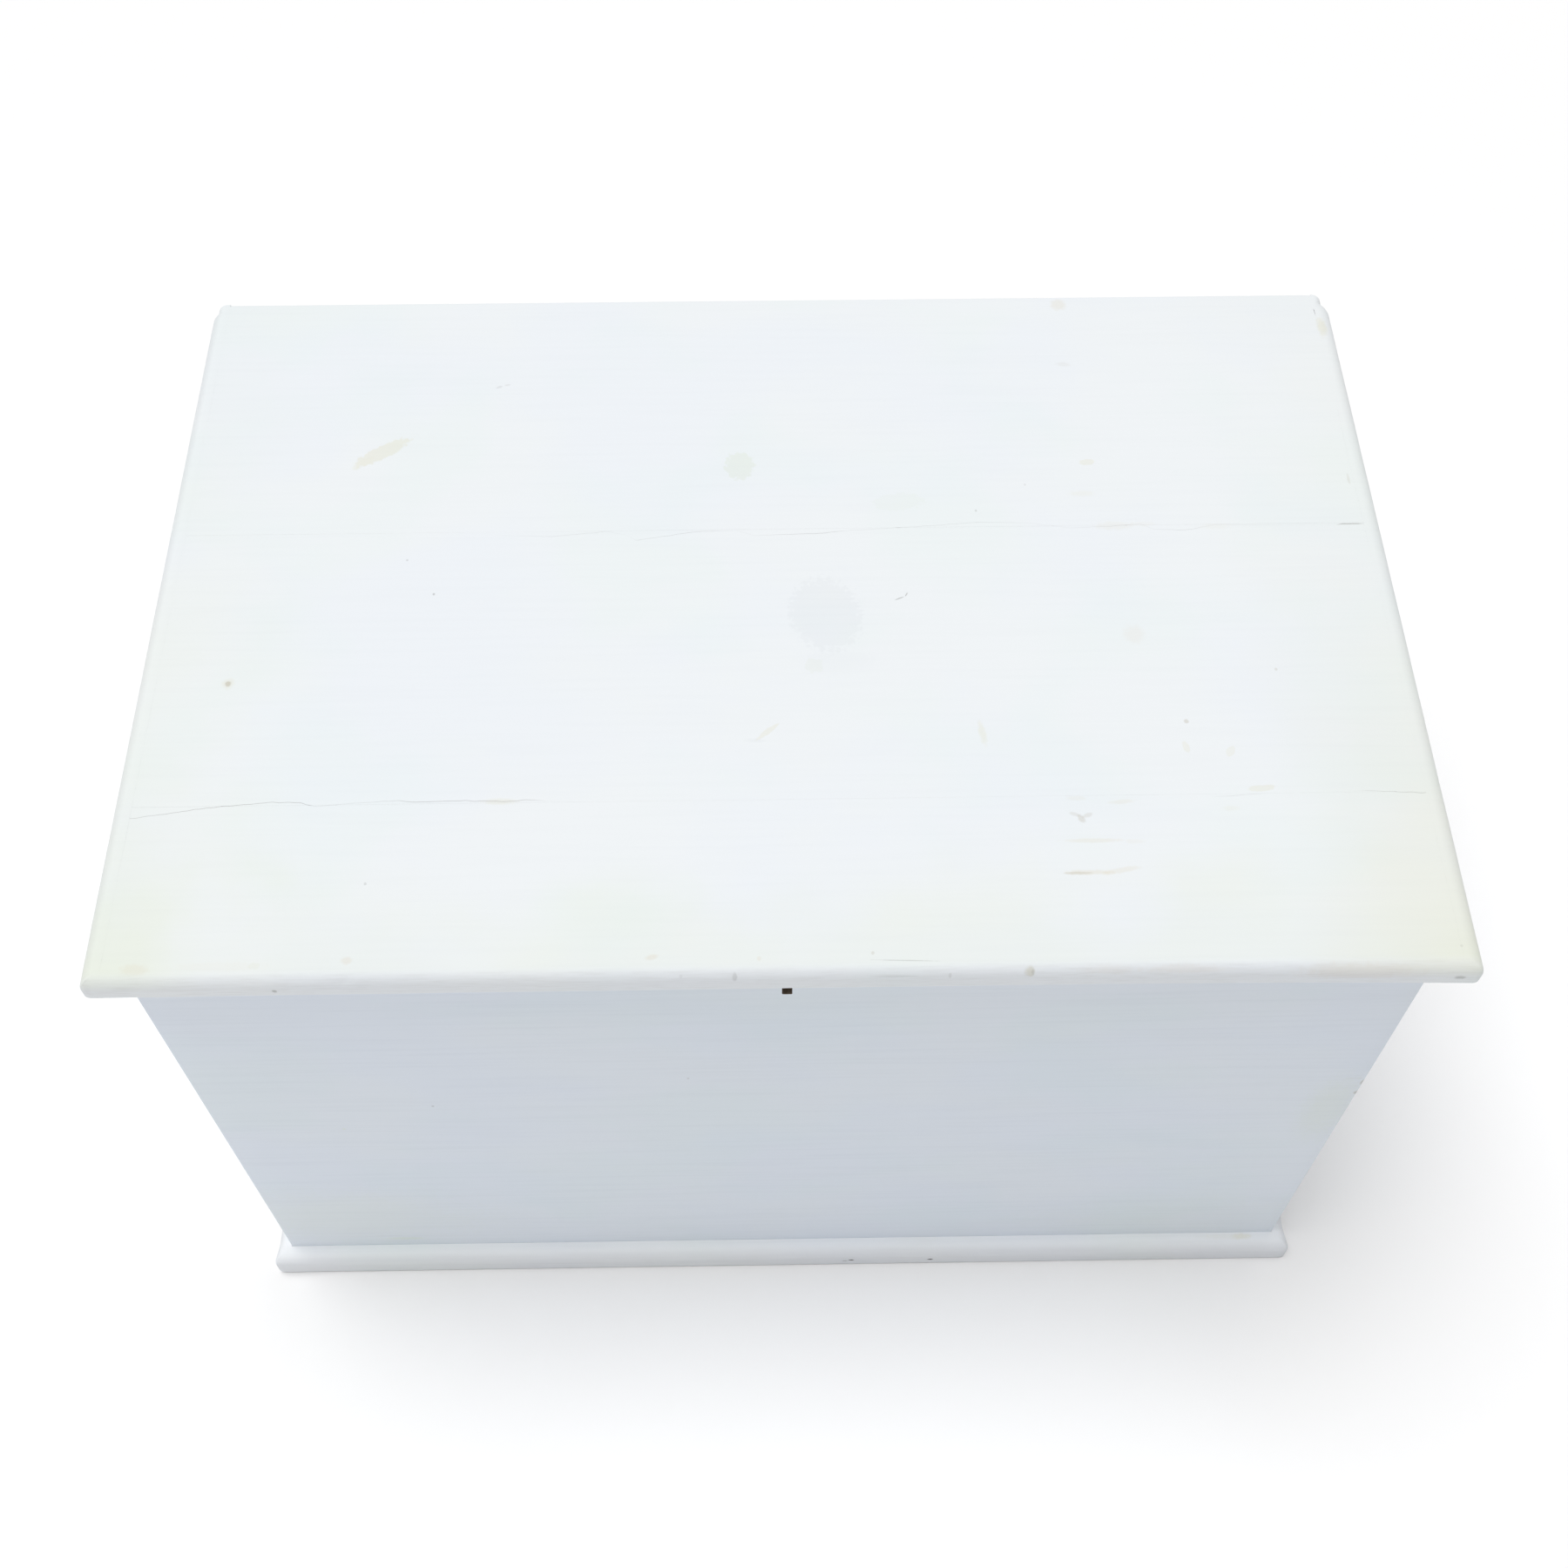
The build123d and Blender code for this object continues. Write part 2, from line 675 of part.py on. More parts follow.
def case_nodes():
    """Walls, bottom and plinth, with the holes for what is fixed to them."""
    nail_places = bottom_nail_places()
    nail_holes = [Pos(x, y, 0) * nail(fastener_clearance) for x, y in nail_places]
    plinth_holes = brad_holes(plinth_brads(), plinth_brad_length)
    hinge_holes = screw_holes(screw_places(False), case_hinge_screw_length)
    leaf_cuts = [cut for x in hinge_centres for cut in leaf_housing(x, False)]
    lock_holes = screw_holes(lock_screws(), lock_screw_length)
    low, joint, top = bottom_thickness, wall_joint, lid_bottom
    nodes = {
        "front_board_lower": long_wall(case_front, inner_front, low, joint) - nail_holes,
        "front_board_upper": long_wall(case_front, inner_front, joint, top) - lock_housing() - lock_holes,
        "back_board_lower": long_wall(inner_back, case_back, low, joint) - nail_holes,
        "back_board_upper": long_wall(inner_back, case_back, joint, top) - leaf_cuts - hinge_holes,
        "left_end_board_lower": end_wall(-1, low, joint) - nail_holes,
        "left_end_board_upper": end_wall(-1, joint, top),
        "right_end_board_lower": end_wall(1, low, joint) - nail_holes,
        "right_end_board_upper": end_wall(1, joint, top),
        "bottom_nails": Compound(children=[Pos(x, y, 0) * nail() for x, y in nail_places]),
        "plinth_nails": Compound(children=rods(plinth_brads(), brad_radius, plinth_brad_length)),
    }
    for index, name in enumerate(("front", "middle", "rear")):
        nodes["bottom_board_" + name] = bottom_board(index) - nail_holes - plinth_holes
    rounded = plinth_outline()
    corner = (case_half, case_front)
    sizes = ((plinth_side_projection, plinth_front_projection), 0, plinth_height)
    side_face = plinth_face(plinth_side_projection)
    nodes["plinth_front"] = mitred_front(plinth_face(plinth_front_projection), corner, *sizes)
    nodes["plinth_left"] = mitred_side(side_face, -1, corner, case_back, *sizes)
    nodes["plinth_right"] = mitred_side(side_face, 1, corner, case_back, *sizes)
    for name in ("plinth_front", "plinth_left", "plinth_right"):
        nodes[name] = (nodes[name] & rounded) - plinth_holes
    return nodes


def lid_nodes():
    """Lid boards, nosing and battens, with the holes for what is fixed to them."""
    nosing_holes = brad_holes(nosing_brads(), nosing_brad_length)
    batten_holes = screw_holes(batten_screws(), batten_screw_length)
    hinge_holes = screw_holes(screw_places(True), lid_hinge_screw_length)
    leaf_cuts = [cut for x in hinge_centres for cut in leaf_housing(x, True)]
    strike_holes = screw_holes(strike_screws(), strike_screw_length)
    top = chest_height
    rounded = lid_outline()
    front = block(-panel_half, panel_half, panel_front, lid_middle_front, lid_bottom, top)
    middle = block(-panel_half, panel_half, lid_middle_front, lid_middle_back, lid_bottom, top)
    rear = block(-panel_half, panel_half, lid_middle_back, lid_back, lid_bottom, top) & rounded
    nodes = {
        "lid_board_front": front - strike_housing() - strike_holes - nosing_holes - batten_holes,
        "lid_board_middle": middle - nosing_holes - batten_holes,
        "lid_board_rear": rear - leaf_cuts - hinge_holes - nosing_holes - batten_holes,
        "lid_batten_left": batten(-1) - batten_holes,
        "lid_batten_right": batten(1) - batten_holes,
        "batten_screws": screws(batten_screws(), batten_screw_length),
        "nosing_nails": Compound(children=rods(nosing_brads(), brad_radius, nosing_brad_length)),
    }
    face = nosing_face()
    corner = (panel_half, panel_front)
    sizes = ((nosing_width, nosing_width), lid_bottom, top)
    nodes["nosing_front"] = mitred_front(face, corner, *sizes)
    nodes["nosing_left"] = mitred_side(face, -1, corner, lid_back, *sizes)
    nodes["nosing_right"] = mitred_side(face, 1, corner, lid_back, *sizes)
    for name in ("nosing_front", "nosing_left", "nosing_right"):
        nodes[name] = (nodes[name] & rounded) - nosing_holes
    return nodes


def hinge_nodes():
    """Both butt hinges: two leaves and a pin each, with their screws in one group a side."""
    nodes = {}
    for name, x in zip(("left", "right"), hinge_centres):
        case_holes = screw_holes(hinge_screws(x, False), case_hinge_screw_length)
        lid_holes = screw_holes(hinge_screws(x, True), lid_hinge_screw_length)
        nodes["hinge_leaf_case_" + name] = hinge_leaf(x, False) - case_holes
        nodes["hinge_leaf_lid_" + name] = hinge_leaf(x, True) - lid_holes
        nodes["hinge_pin_" + name] = hinge_pin(x)
    nodes["hinge_screws_case"] = screws(screw_places(False), case_hinge_screw_length)
    nodes["hinge_screws_lid"] = screws(screw_places(True), lid_hinge_screw_length)
    return nodes


def lock_nodes():
    """The box lock in the front board and its strike plate in the lid."""
    lock_holes = screw_holes(lock_screws(), lock_screw_length)
    strike_holes = screw_holes(strike_screws(), strike_screw_length)
    return {
        "lock_back_plate": lock_back_plate() - lock_holes,
        "lock_cap": lock_cap(),
        "lock_key_pin": lock_key_pin(),
        "lock_bolt": lock_bolt(),
        "bolt_spring": bolt_spring(),
        "lock_screws": screws(lock_screws(), lock_screw_length),
        "strike_plate": strike_plate() - strike_holes,
        "strike_screws": screws(strike_screws(), strike_screw_length),
    }


os.makedirs("parts", exist_ok=True)
for node, shape in {**case_nodes(), **lid_nodes(), **hinge_nodes(), **lock_nodes()}.items():
    export_step(shape, "parts/" + node + ".step")
    print(node, len(shape.solids()))
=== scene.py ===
"""Painted blanket chest: paint, bare wood, ironwork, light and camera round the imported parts."""

import math
from functools import partial

import bmesh
import bpy
from mathutils import Matrix, Vector, noise


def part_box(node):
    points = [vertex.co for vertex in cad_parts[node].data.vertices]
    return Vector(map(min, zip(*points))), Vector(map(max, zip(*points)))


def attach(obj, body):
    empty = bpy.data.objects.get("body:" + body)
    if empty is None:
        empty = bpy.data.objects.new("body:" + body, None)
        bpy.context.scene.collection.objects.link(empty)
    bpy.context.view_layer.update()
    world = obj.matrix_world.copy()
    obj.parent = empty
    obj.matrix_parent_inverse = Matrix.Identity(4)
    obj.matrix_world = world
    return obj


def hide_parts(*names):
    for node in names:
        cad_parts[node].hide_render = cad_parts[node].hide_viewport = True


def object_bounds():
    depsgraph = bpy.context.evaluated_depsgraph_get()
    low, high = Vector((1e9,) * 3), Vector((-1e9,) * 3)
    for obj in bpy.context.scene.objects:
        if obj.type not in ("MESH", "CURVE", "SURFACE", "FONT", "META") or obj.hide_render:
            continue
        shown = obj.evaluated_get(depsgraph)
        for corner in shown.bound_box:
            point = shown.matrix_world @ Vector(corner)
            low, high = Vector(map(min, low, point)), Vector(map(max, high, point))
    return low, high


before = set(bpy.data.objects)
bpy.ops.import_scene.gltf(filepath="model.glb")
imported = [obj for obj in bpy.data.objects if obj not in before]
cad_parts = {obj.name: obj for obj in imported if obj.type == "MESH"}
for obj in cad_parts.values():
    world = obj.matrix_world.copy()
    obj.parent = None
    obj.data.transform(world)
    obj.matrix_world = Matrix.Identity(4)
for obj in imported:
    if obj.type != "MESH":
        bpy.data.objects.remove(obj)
cad_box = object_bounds()
MM = 0.001

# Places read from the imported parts, in metres
FRONT_LOW, FRONT_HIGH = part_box("lid_board_front")
REAR_LOW, REAR_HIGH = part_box("lid_board_rear")
PLINTH_LOW, PLINTH_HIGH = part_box("plinth_front")
SIDE_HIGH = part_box("plinth_right")[1]
WALL_LOW, WALL_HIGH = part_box("front_board_lower")
BACK_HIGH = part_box("back_board_lower")[1]
CAP_LOW, CAP_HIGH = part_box("lock_cap")
LID_TOP = REAR_HIGH.z
LID_FOOT = REAR_LOW.z
LID_THICKNESS = LID_TOP - LID_FOOT
LID_BACK = REAR_HIGH.y
LID_FRONT = cad_box[0].y
LID_HALF = cad_box[1].x
PANEL_HALF = FRONT_HIGH.x
PANEL_FRONT = FRONT_LOW.y
NOSING_WIDTH = LID_HALF - PANEL_HALF
CASE_HALF = WALL_HIGH.x
CASE_FRONT = WALL_LOW.y
CASE_BACK = BACK_HIGH.y
WALL = WALL_HIGH.y - WALL_LOW.y
INNER_HALF = CASE_HALF - WALL
INNER_FRONT = CASE_FRONT + WALL
INNER_BACK = CASE_BACK - WALL
PLINTH_TOP = PLINTH_HIGH.z
PLINTH_FRONT = CASE_FRONT - PLINTH_LOW.y
PLINTH_SIDE = SIDE_HIGH.x - CASE_HALF

# Worn shape of the painted wood
ARRIS = 1.2 * MM
BACK_ARRIS = 2.0 * MM
LID_SAG = 0.05 * MM
NOSE_SET_BACK = 5.2 * MM
NOSE_SET_BACK_LEFT = 4.6 * MM
NOSE_SET_BACK_RIGHT = 2.1 * MM
NOSE_TOP_ROUND = 11.0 * MM
NOSE_FOOT_ROUND = 2.5 * MM
NOSE_WEAR = 0.14 * MM
NOSE_WEAR_SIZES = (45 * MM, 45 * MM, 7 * MM)
NOSE_DENT = 0.7 * MM
NOSE_DENT_PLACE = (-269, 531)
NOSE_DENT_SIZE = (3.2, 2.4)
PLINTH_SHOULDER = 10.0 * MM
PLINTH_TOE = 3.0 * MM
PLINTH_WEAR = 0.16 * MM
PLINTH_WEAR_SIZES = (50 * MM, 50 * MM, 12 * MM)
PLINTH_CHIP = 0.6 * MM
CHIP_PLACES = [(57.1, 10.7), (123.7, 9.9)]
CHIP_SIZE = (2.4, 1.3)
PLINTH_FLARE = 2.4 * MM
PLINTH_FLARE_LENGTH = 22.0 * MM
LID_CORNERS = {(-1, 1): 12.0 * MM, (1, 1): 18.0 * MM, (-1, -1): 5.0 * MM, (1, -1): 5.0 * MM}
PLINTH_CORNERS = {(-1, -1): 5.0 * MM, (1, -1): 5.0 * MM}

# How far in from the panel's ends the nails of the side nosings end and those of the front one have not begun
NOSING_NAIL_REACH = 45.0 * MM

# How far apart the points of the painted shapes are
LID_STEP = 1.25 * MM
MOULDING_STEP = 2.2 * MM
BOARD_STEP = 8.0 * MM

# Cracks along the lid's joints, as points in millimetres with how open each is, from left to right
FRONT_CRACK = [
    (-418, -171.6, 0.5),
    (-398, -168.6, 0.8),
    (-367, -163.8, 1.0),
    (-328, -160.4, 0.8),
    (-310, -161.0, 1.0),
    (-300, -164.0, 0.3),
    (-277, -162.0, 0.3),
    (-248, -160.3, 0.4),
    (-238, -161.6, 1.0),
    (-208, -161.0, 0.9),
    (-173, -162.0, 1.0),
    (-164, -160.8, 0.7),
    (-150, -162.0, 0.1),
    (-120, -163.0, 0.0),
    (278, -165.0, 0.0),
    (290, -164.8, 0.3),
    (302, -163.7, 0.3),
    (320, -163.0, 0.0),
    (375, -162.0, 0.1),
    (381, -161.9, 0.35),
    (400, -163.2, 0.45),
    (416, -164.1, 0.75),
    (418, -164.0, 0.5),
]
REAR_CRACK = [
    (-418, 64.0, 0.0),
    (-208, 61.6, 0.0),
    (-159, 59.3, 0.3),
    (-120, 63.4, 0.3),
    (-106, 60.0, 0.0),
    (-99, 55.0, 0.3),
    (-57, 62.4, 0.5),
    (-28, 63.0, 0.1),
    (-20, 60.0, 0.2),
    (-16, 58.2, 0.15),
    (33, 59.7, 0.8),
    (50, 61.9, 0.2),
    (106, 65.1, 0.35),
    (143, 68.2, 0.35),
    (179, 67.2, 0.2),
    (208, 62.0, 0.15),
    (238, 63.2, 0.35),
    (259, 65.0, 0.25),
    (268, 60.0, 0.2),
    (291, 58.8, 0.4),
    (312, 63.5, 0.2),
    (398, 62.4, 0.05),
    (403, 63.0, 2.4),
    (414, 63.0, 2.4),
    (418, 63.0, 0.1),
]
CRACK_HALF_WIDTH = 0.11 * MM
CRACK_DEPTH = 0.4 * MM
CRACK_RAG = 0.5 * MM
CRACK_MARGIN = 6.0 * MM
LIP_DIRT = 0.25
CRACK_LAYER = "crack"

# Light, as the share of full white that each gives a level white surface; the fill is in watts
ROOM_LIGHT = 0.336
KEY_LIGHT = 0.735
KEY_DIRECTION = (0.150, -0.050, -0.987)
KEY_SPREAD = 39.6
KEY_PLACE = (0.0, 0.0, 3.0)
FILL_LIGHT = 3.4
FILL_PLACE = (-1.7, -1.8, 0.25)
FILL_SIZE = (1.6, 0.4)

# Camera, and the floor round the chest
PHOTO_SIDE = 1800
FOCAL_LENGTH_PX = 2218.3
SENSOR = 36.0
CAMERA_PLACE = Vector((-9.7, -830.4, 1590.8)) * MM
CAMERA_RIGHT = Vector((0.99987699, -0.01563152, 0.00128513))
CAMERA_UP = Vector((0.01244661, 0.84066449, 0.54141324))
NEAREST_SHOWN = 0.05
FLOOR_HALF = 40.0
FLOOR_WHITES = ((0.940, 0.936, 0.934), (0.946, 0.942, 0.940))

# Finishes of the paint, the pine and the metal
PAINT_SHINE = 0.3
LID_ROUGHNESS = 0.68
CASE_ROUGHNESS = 0.66
BRUSH_DEPTH = 0.09 * MM
PLINTH_BRUSH_DEPTH = 0.11 * MM
PINE_ROUGHNESS = 0.72
RING_DEPTH = 0.07 * MM
PIT_DEPTH = 0.12 * MM

# Where the paint changes, each as a start and an end in metres
FRONT_HALF = (-0.27, 0.10)
FRONT_STRIP = (-0.29, -0.20)
RIGHT_END = (0.29, 0.45)
LEFT_END = (-0.45, -0.31)
TOP_EDGE = (LID_TOP - 12 * MM, LID_TOP - 2 * MM)
NOSE_FRONT = (PANEL_FRONT - 7 * MM, PANEL_FRONT)
NOSE_LEFT = (-PANEL_HALF - 10 * MM, -PANEL_HALF - 5 * MM)
NOSE_HEIGHT = (LID_FOOT + 3 * MM, LID_FOOT + 10 * MM)
# Painted shade on the plinth fades out between these heights
PLINTH_SHADE_HEIGHT = (20 * MM, 28 * MM)

# Paint colours, and the tints that marks multiply them by, as linear red, green and blue
LID_WHITE = (0.826, 0.855, 0.874)
# The case paint's blue tint, beside the lid's, is painted cool shade on the upright walls
CASE_WHITE_COOL_SHADE = (0.785, 0.838, 0.903)
# The plinth's white is brighter than the case's: painted light on its rounded top
PLINTH_LIT_WHITE = (0.935, 0.957, 0.965)
COOL = (0.985, 0.99, 1.012)
GREENISH = (0.98, 1.0, 0.985)
YELLOWED = (0.97, 0.98, 0.90)
AGED = (0.95, 0.93, 0.79)
STREAKED = (0.968, 0.970, 0.974)
# Painted shade: darkens the front of the lid's nosing where it turns down, in streaks
STREAKY_NOSE_SHADE = (0.955, 0.95, 0.945)
# Painted shade: darkens the lower part of the nosing at the lid's left end
LOWER_NOSE_SHADE = (0.945, 0.94, 0.945)
# Painted shade on the plinth's face below its rounded top
PLINTH_FACE_SHADE = (0.85, 0.85, 0.865)
TAPE = (0.955, 0.93, 0.84)
GLUE = (0.945, 0.955, 0.895)
PALE_GREY = (0.963, 0.964, 0.967)
TAN = (0.96, 0.91, 0.86)
OCHRE = (0.93, 0.87, 0.76)
SOIL = (0.86, 0.83, 0.75)
BROWN = (0.62, 0.55, 0.44)
DARK = (0.35, 0.34, 0.32)
CHIPPED = (0.20, 0.19, 0.17)
CRACK_DIRT = (0.34, 0.32, 0.29)
KNOT_BROWN = (0.20, 0.09, 0.04)
WOOD_DIRT = (0.86, 0.80, 0.72)


def on_lid(x, y, across, deep, turn=0, strength=1.0):
    """A mark on the lid's top: its place and half sizes in millimetres, and its turn in degrees."""
    return (x, y, LID_TOP / MM), (across, deep, 9), turn, strength


def on_nose(x, height, across, tall, strength=1.0):
    """A mark on the lid's rounded front edge, at a height above the lid's foot."""
    return (x, (LID_FRONT + NOSE_SET_BACK) / MM, LID_FOOT / MM + height), (across, 5, tall), 0, strength


def on_front(x, z, across, tall, strength=1.0):
    """A mark on the front of the case."""
    return (x, CASE_FRONT / MM, z), (across, 4, tall), 0, strength


def on_plinth(x, z, across, tall, strength=1.0):
    """A mark on the front of the plinth."""
    return (x, (CASE_FRONT - PLINTH_FRONT) / MM, z), (across, 3, tall), 0, strength


def on_plinth_top(x, across, strength):
    """A mark along the rounded top of the front plinth."""
    return (x, -278.5, 25.0), (across, 2.5, 3), 0, strength


# Marks, grouped by their tint and by how softly they fade
LID_MARKS = [
    (
        TAPE,
        0.14,
        [
            on_lid(-286, 141, 22, 6.2, 34, 0.9),
            on_lid(-300, 130, 9, 3.0, 38, 0.5),
            on_lid(-8, -110, 9, 1.9, 42, 0.7),
            on_lid(227, 124, 6, 2.6, 5, 0.7),
            on_lid(312, -159, 9, 2.4, 5, 0.7),
            on_lid(267, -126, 2.2, 4.5, 15, 0.6),
            on_lid(296, -130, 2.8, 4.6, -30, 0.5),
        ],
    ),
    (
        TAPE,
        0.5,
        [
            on_lid(220, 94, 8, 2.6, 0, 0.35),
            on_lid(290, -174, 5, 1.8, 0, 0.35),
            on_lid(312, 62, 10, 2.4, 0, 0.2),
            on_lid(421, 259, 3.4, 9),
            on_lid(-181, -162, 10, 2.2, 0, 0.6),
            on_lid(134, -113, 2.2, 9, 8, 0.7),
        ],
    ),
    (
        GLUE,
        0.1,
        [
            on_lid(-25.7, 123.8, 10.5, 12.8, 0, 0.9),
            on_lid(88, 88, 18, 8, 4, 0.3),
            on_lid(24, -56, 6, 6, 0, 0.4),
            on_lid(-324, -279, 4, 2.5, 0, 0.4),
        ],
    ),
    (PALE_GREY, 0.1, [on_lid(33, -12.6, 24, 31, 12)]),
    (PALE_GREY, 0.6, [on_lid(40, -54, 22, 9, 0, 0.5), on_lid(-16, -117, 6, 1.4, -5)]),
    (
        TAN,
        0.45,
        [
            on_lid(-397, -280.5, 8, 3.5, -4, 0.6),
            on_lid(-345, -279, 26, 3.0, 0, 0.2),
            on_lid(243.5, -33, 6.5, 7.0, 0, 0.45),
            on_lid(-268, -276, 3, 2.5, 0, 0.8),
            on_lid(-81, -276.5, 3.6, 1.8, 12, 0.9),
            on_lid(-15, -278.5, 1.3, 1.6, 0, 0.7),
        ],
    ),
    (
        OCHRE,
        0.4,
        [
            on_lid(221, 286, 5.5, 5.5, 20, 0.5),
            on_lid(240, 63.6, 13, 3.6, 0, 0.25),
            on_lid(262, 65, 8, 2.2, 0, 0.15),
            on_lid(220, -168, 8, 1.5, 4, 0.35),
            on_lid(191, -165, 6, 1.7, 0, 0.25),
            on_lid(199, -197, 18, 1.5, 0, 0.42),
            on_lid(225, -198, 6, 1.5, 0, 0.2),
            on_lid(193, -220.4, 14, 1.7, 0, 0.55),
            on_lid(214, -219.2, 12, 1.8, 10, 0.42),
            on_lid(-369.6, -65.7, 4, 4, 0, 0.4),
        ],
    ),
    (
        BROWN,
        0.4,
        [
            on_lid(219, 222.5, 5.0, 2.2, -10, 0.12),
            on_lid(-369.6, -65.7, 1.9, 2.2, 0, 0.55),
            on_lid(336, -64, 1.0, 1.2, 0, 0.3),
            on_lid(270, -105.7, 1.5, 1.6, 0, 0.42),
            on_lid(414.5, 105, 1.0, 5, 0, 0.22),
            on_lid(193, -180.5, 2.0, 3.2, 30, 0.36),
            on_lid(197, -178, 3.6, 1.5, 25, 0.25),
            on_lid(189, -177.2, 3.2, 1.3, -20, 0.22),
            on_lid(186, -220.8, 9, 0.9, 0, 0.3),
            on_lid(55, -275.5, 1.0, 1.2, 0, 0.3),
        ],
    ),
    (
        DARK,
        0.35,
        [
            on_lid(-238, 8.8, 0.8, 1.0, 0, 0.42),
            on_lid(-259, 39.4, 0.9, 1.0, 0, 0.28),
            on_lid(-262, -222, 0.8, 1.0, 0, 0.28),
            on_lid(-205, 205, 2.4, 1.0, 20, 0.18),
            on_lid(-199, 207, 2.2, 0.9, 10, 0.15),
            on_lid(143, 79, 0.8, 1.2, 0, 0.3),
            on_lid(180, 103, 0.7, 1.1, 0, 0.18),
            on_lid(85, 0.6, 3.6, 0.45, 24, 0.55),
            on_lid(89.4, 3.6, 1.8, 0.45, 62, 0.5),
            on_lid(75, -281, 18, 0.35, -2, 0.3),
            on_lid(418, -276, 0.8, 1.0, 0, 0.16),
        ],
    ),
]
NOSE_MARKS = [
    (SOIL, 0.4, [on_nose(151, 17, 3.2, 4)]),
    (TAN, 0.5, [on_nose(246, 17, 24, 3, 0.5), on_nose(200, 17, 16, 3, 0.4), on_nose(355, 14, 34, 6, 0.6)]),
    (
        DARK,
        0.4,
        [
            on_nose(153, 16, 1.0, 2, 0.2),
            on_nose(-30, 15, 1.4, 3, 0.25),
            on_nose(-63, 16, 1.0, 1.2, 0.12),
            on_nose(-313, 7, 1.5, 1.6, 0.5),
            on_nose(102, 14, 1.0, 2, 0.2),
            on_nose(70, 14, 12, 0.5, 0.2),
            on_nose(417, 9, 3.4, 2.2, 0.5),
        ],
    ),
]
CASE_MARKS = [
    (DARK, 0.35, [on_front(-249.2, 310.4, 0.9, 1.0, 0.35), on_front(-66.0, 352.2, 0.9, 1.0, 0.25)]),
    (
        YELLOWED,
        0.7,
        [
            on_front(395, 285, 16, 46, 0.7),
            on_front(330, 62, 110, 40, 0.4),
            on_front(-345, 90, 90, 50, 0.5),
            on_front(-319.6, 271.7, 1.2, 1.3),
            on_front(-312, 40, 12, 2.6, 0.9),
        ],
    ),
    (PALE_GREY, 0.5, [on_front(-325, 46.5, 9, 1.6)]),
    (
        BROWN,
        0.4,
        [
            on_front(409.6, 330.3, 1.8, 4.0, 0.5),
            on_front(409.6, 312.1, 2.2, 3.0, 0.55),
            on_front(402.5, 336.8, 7.5, 0.35, 0.3),
        ],
    ),
]
PLINTH_MARKS = [
    (CHIPPED, 0.35, [on_plinth(x, z, *CHIP_SIZE) for x, z in CHIP_PLACES]),
    (DARK, 0.4, [on_plinth(52.0, 9.6, 2.0, 0.8, 0.6)]),
    (TAPE, 0.5, [on_plinth_top(384.3, 7, 0.7), on_plinth_top(372, 20, 0.3)]),
]


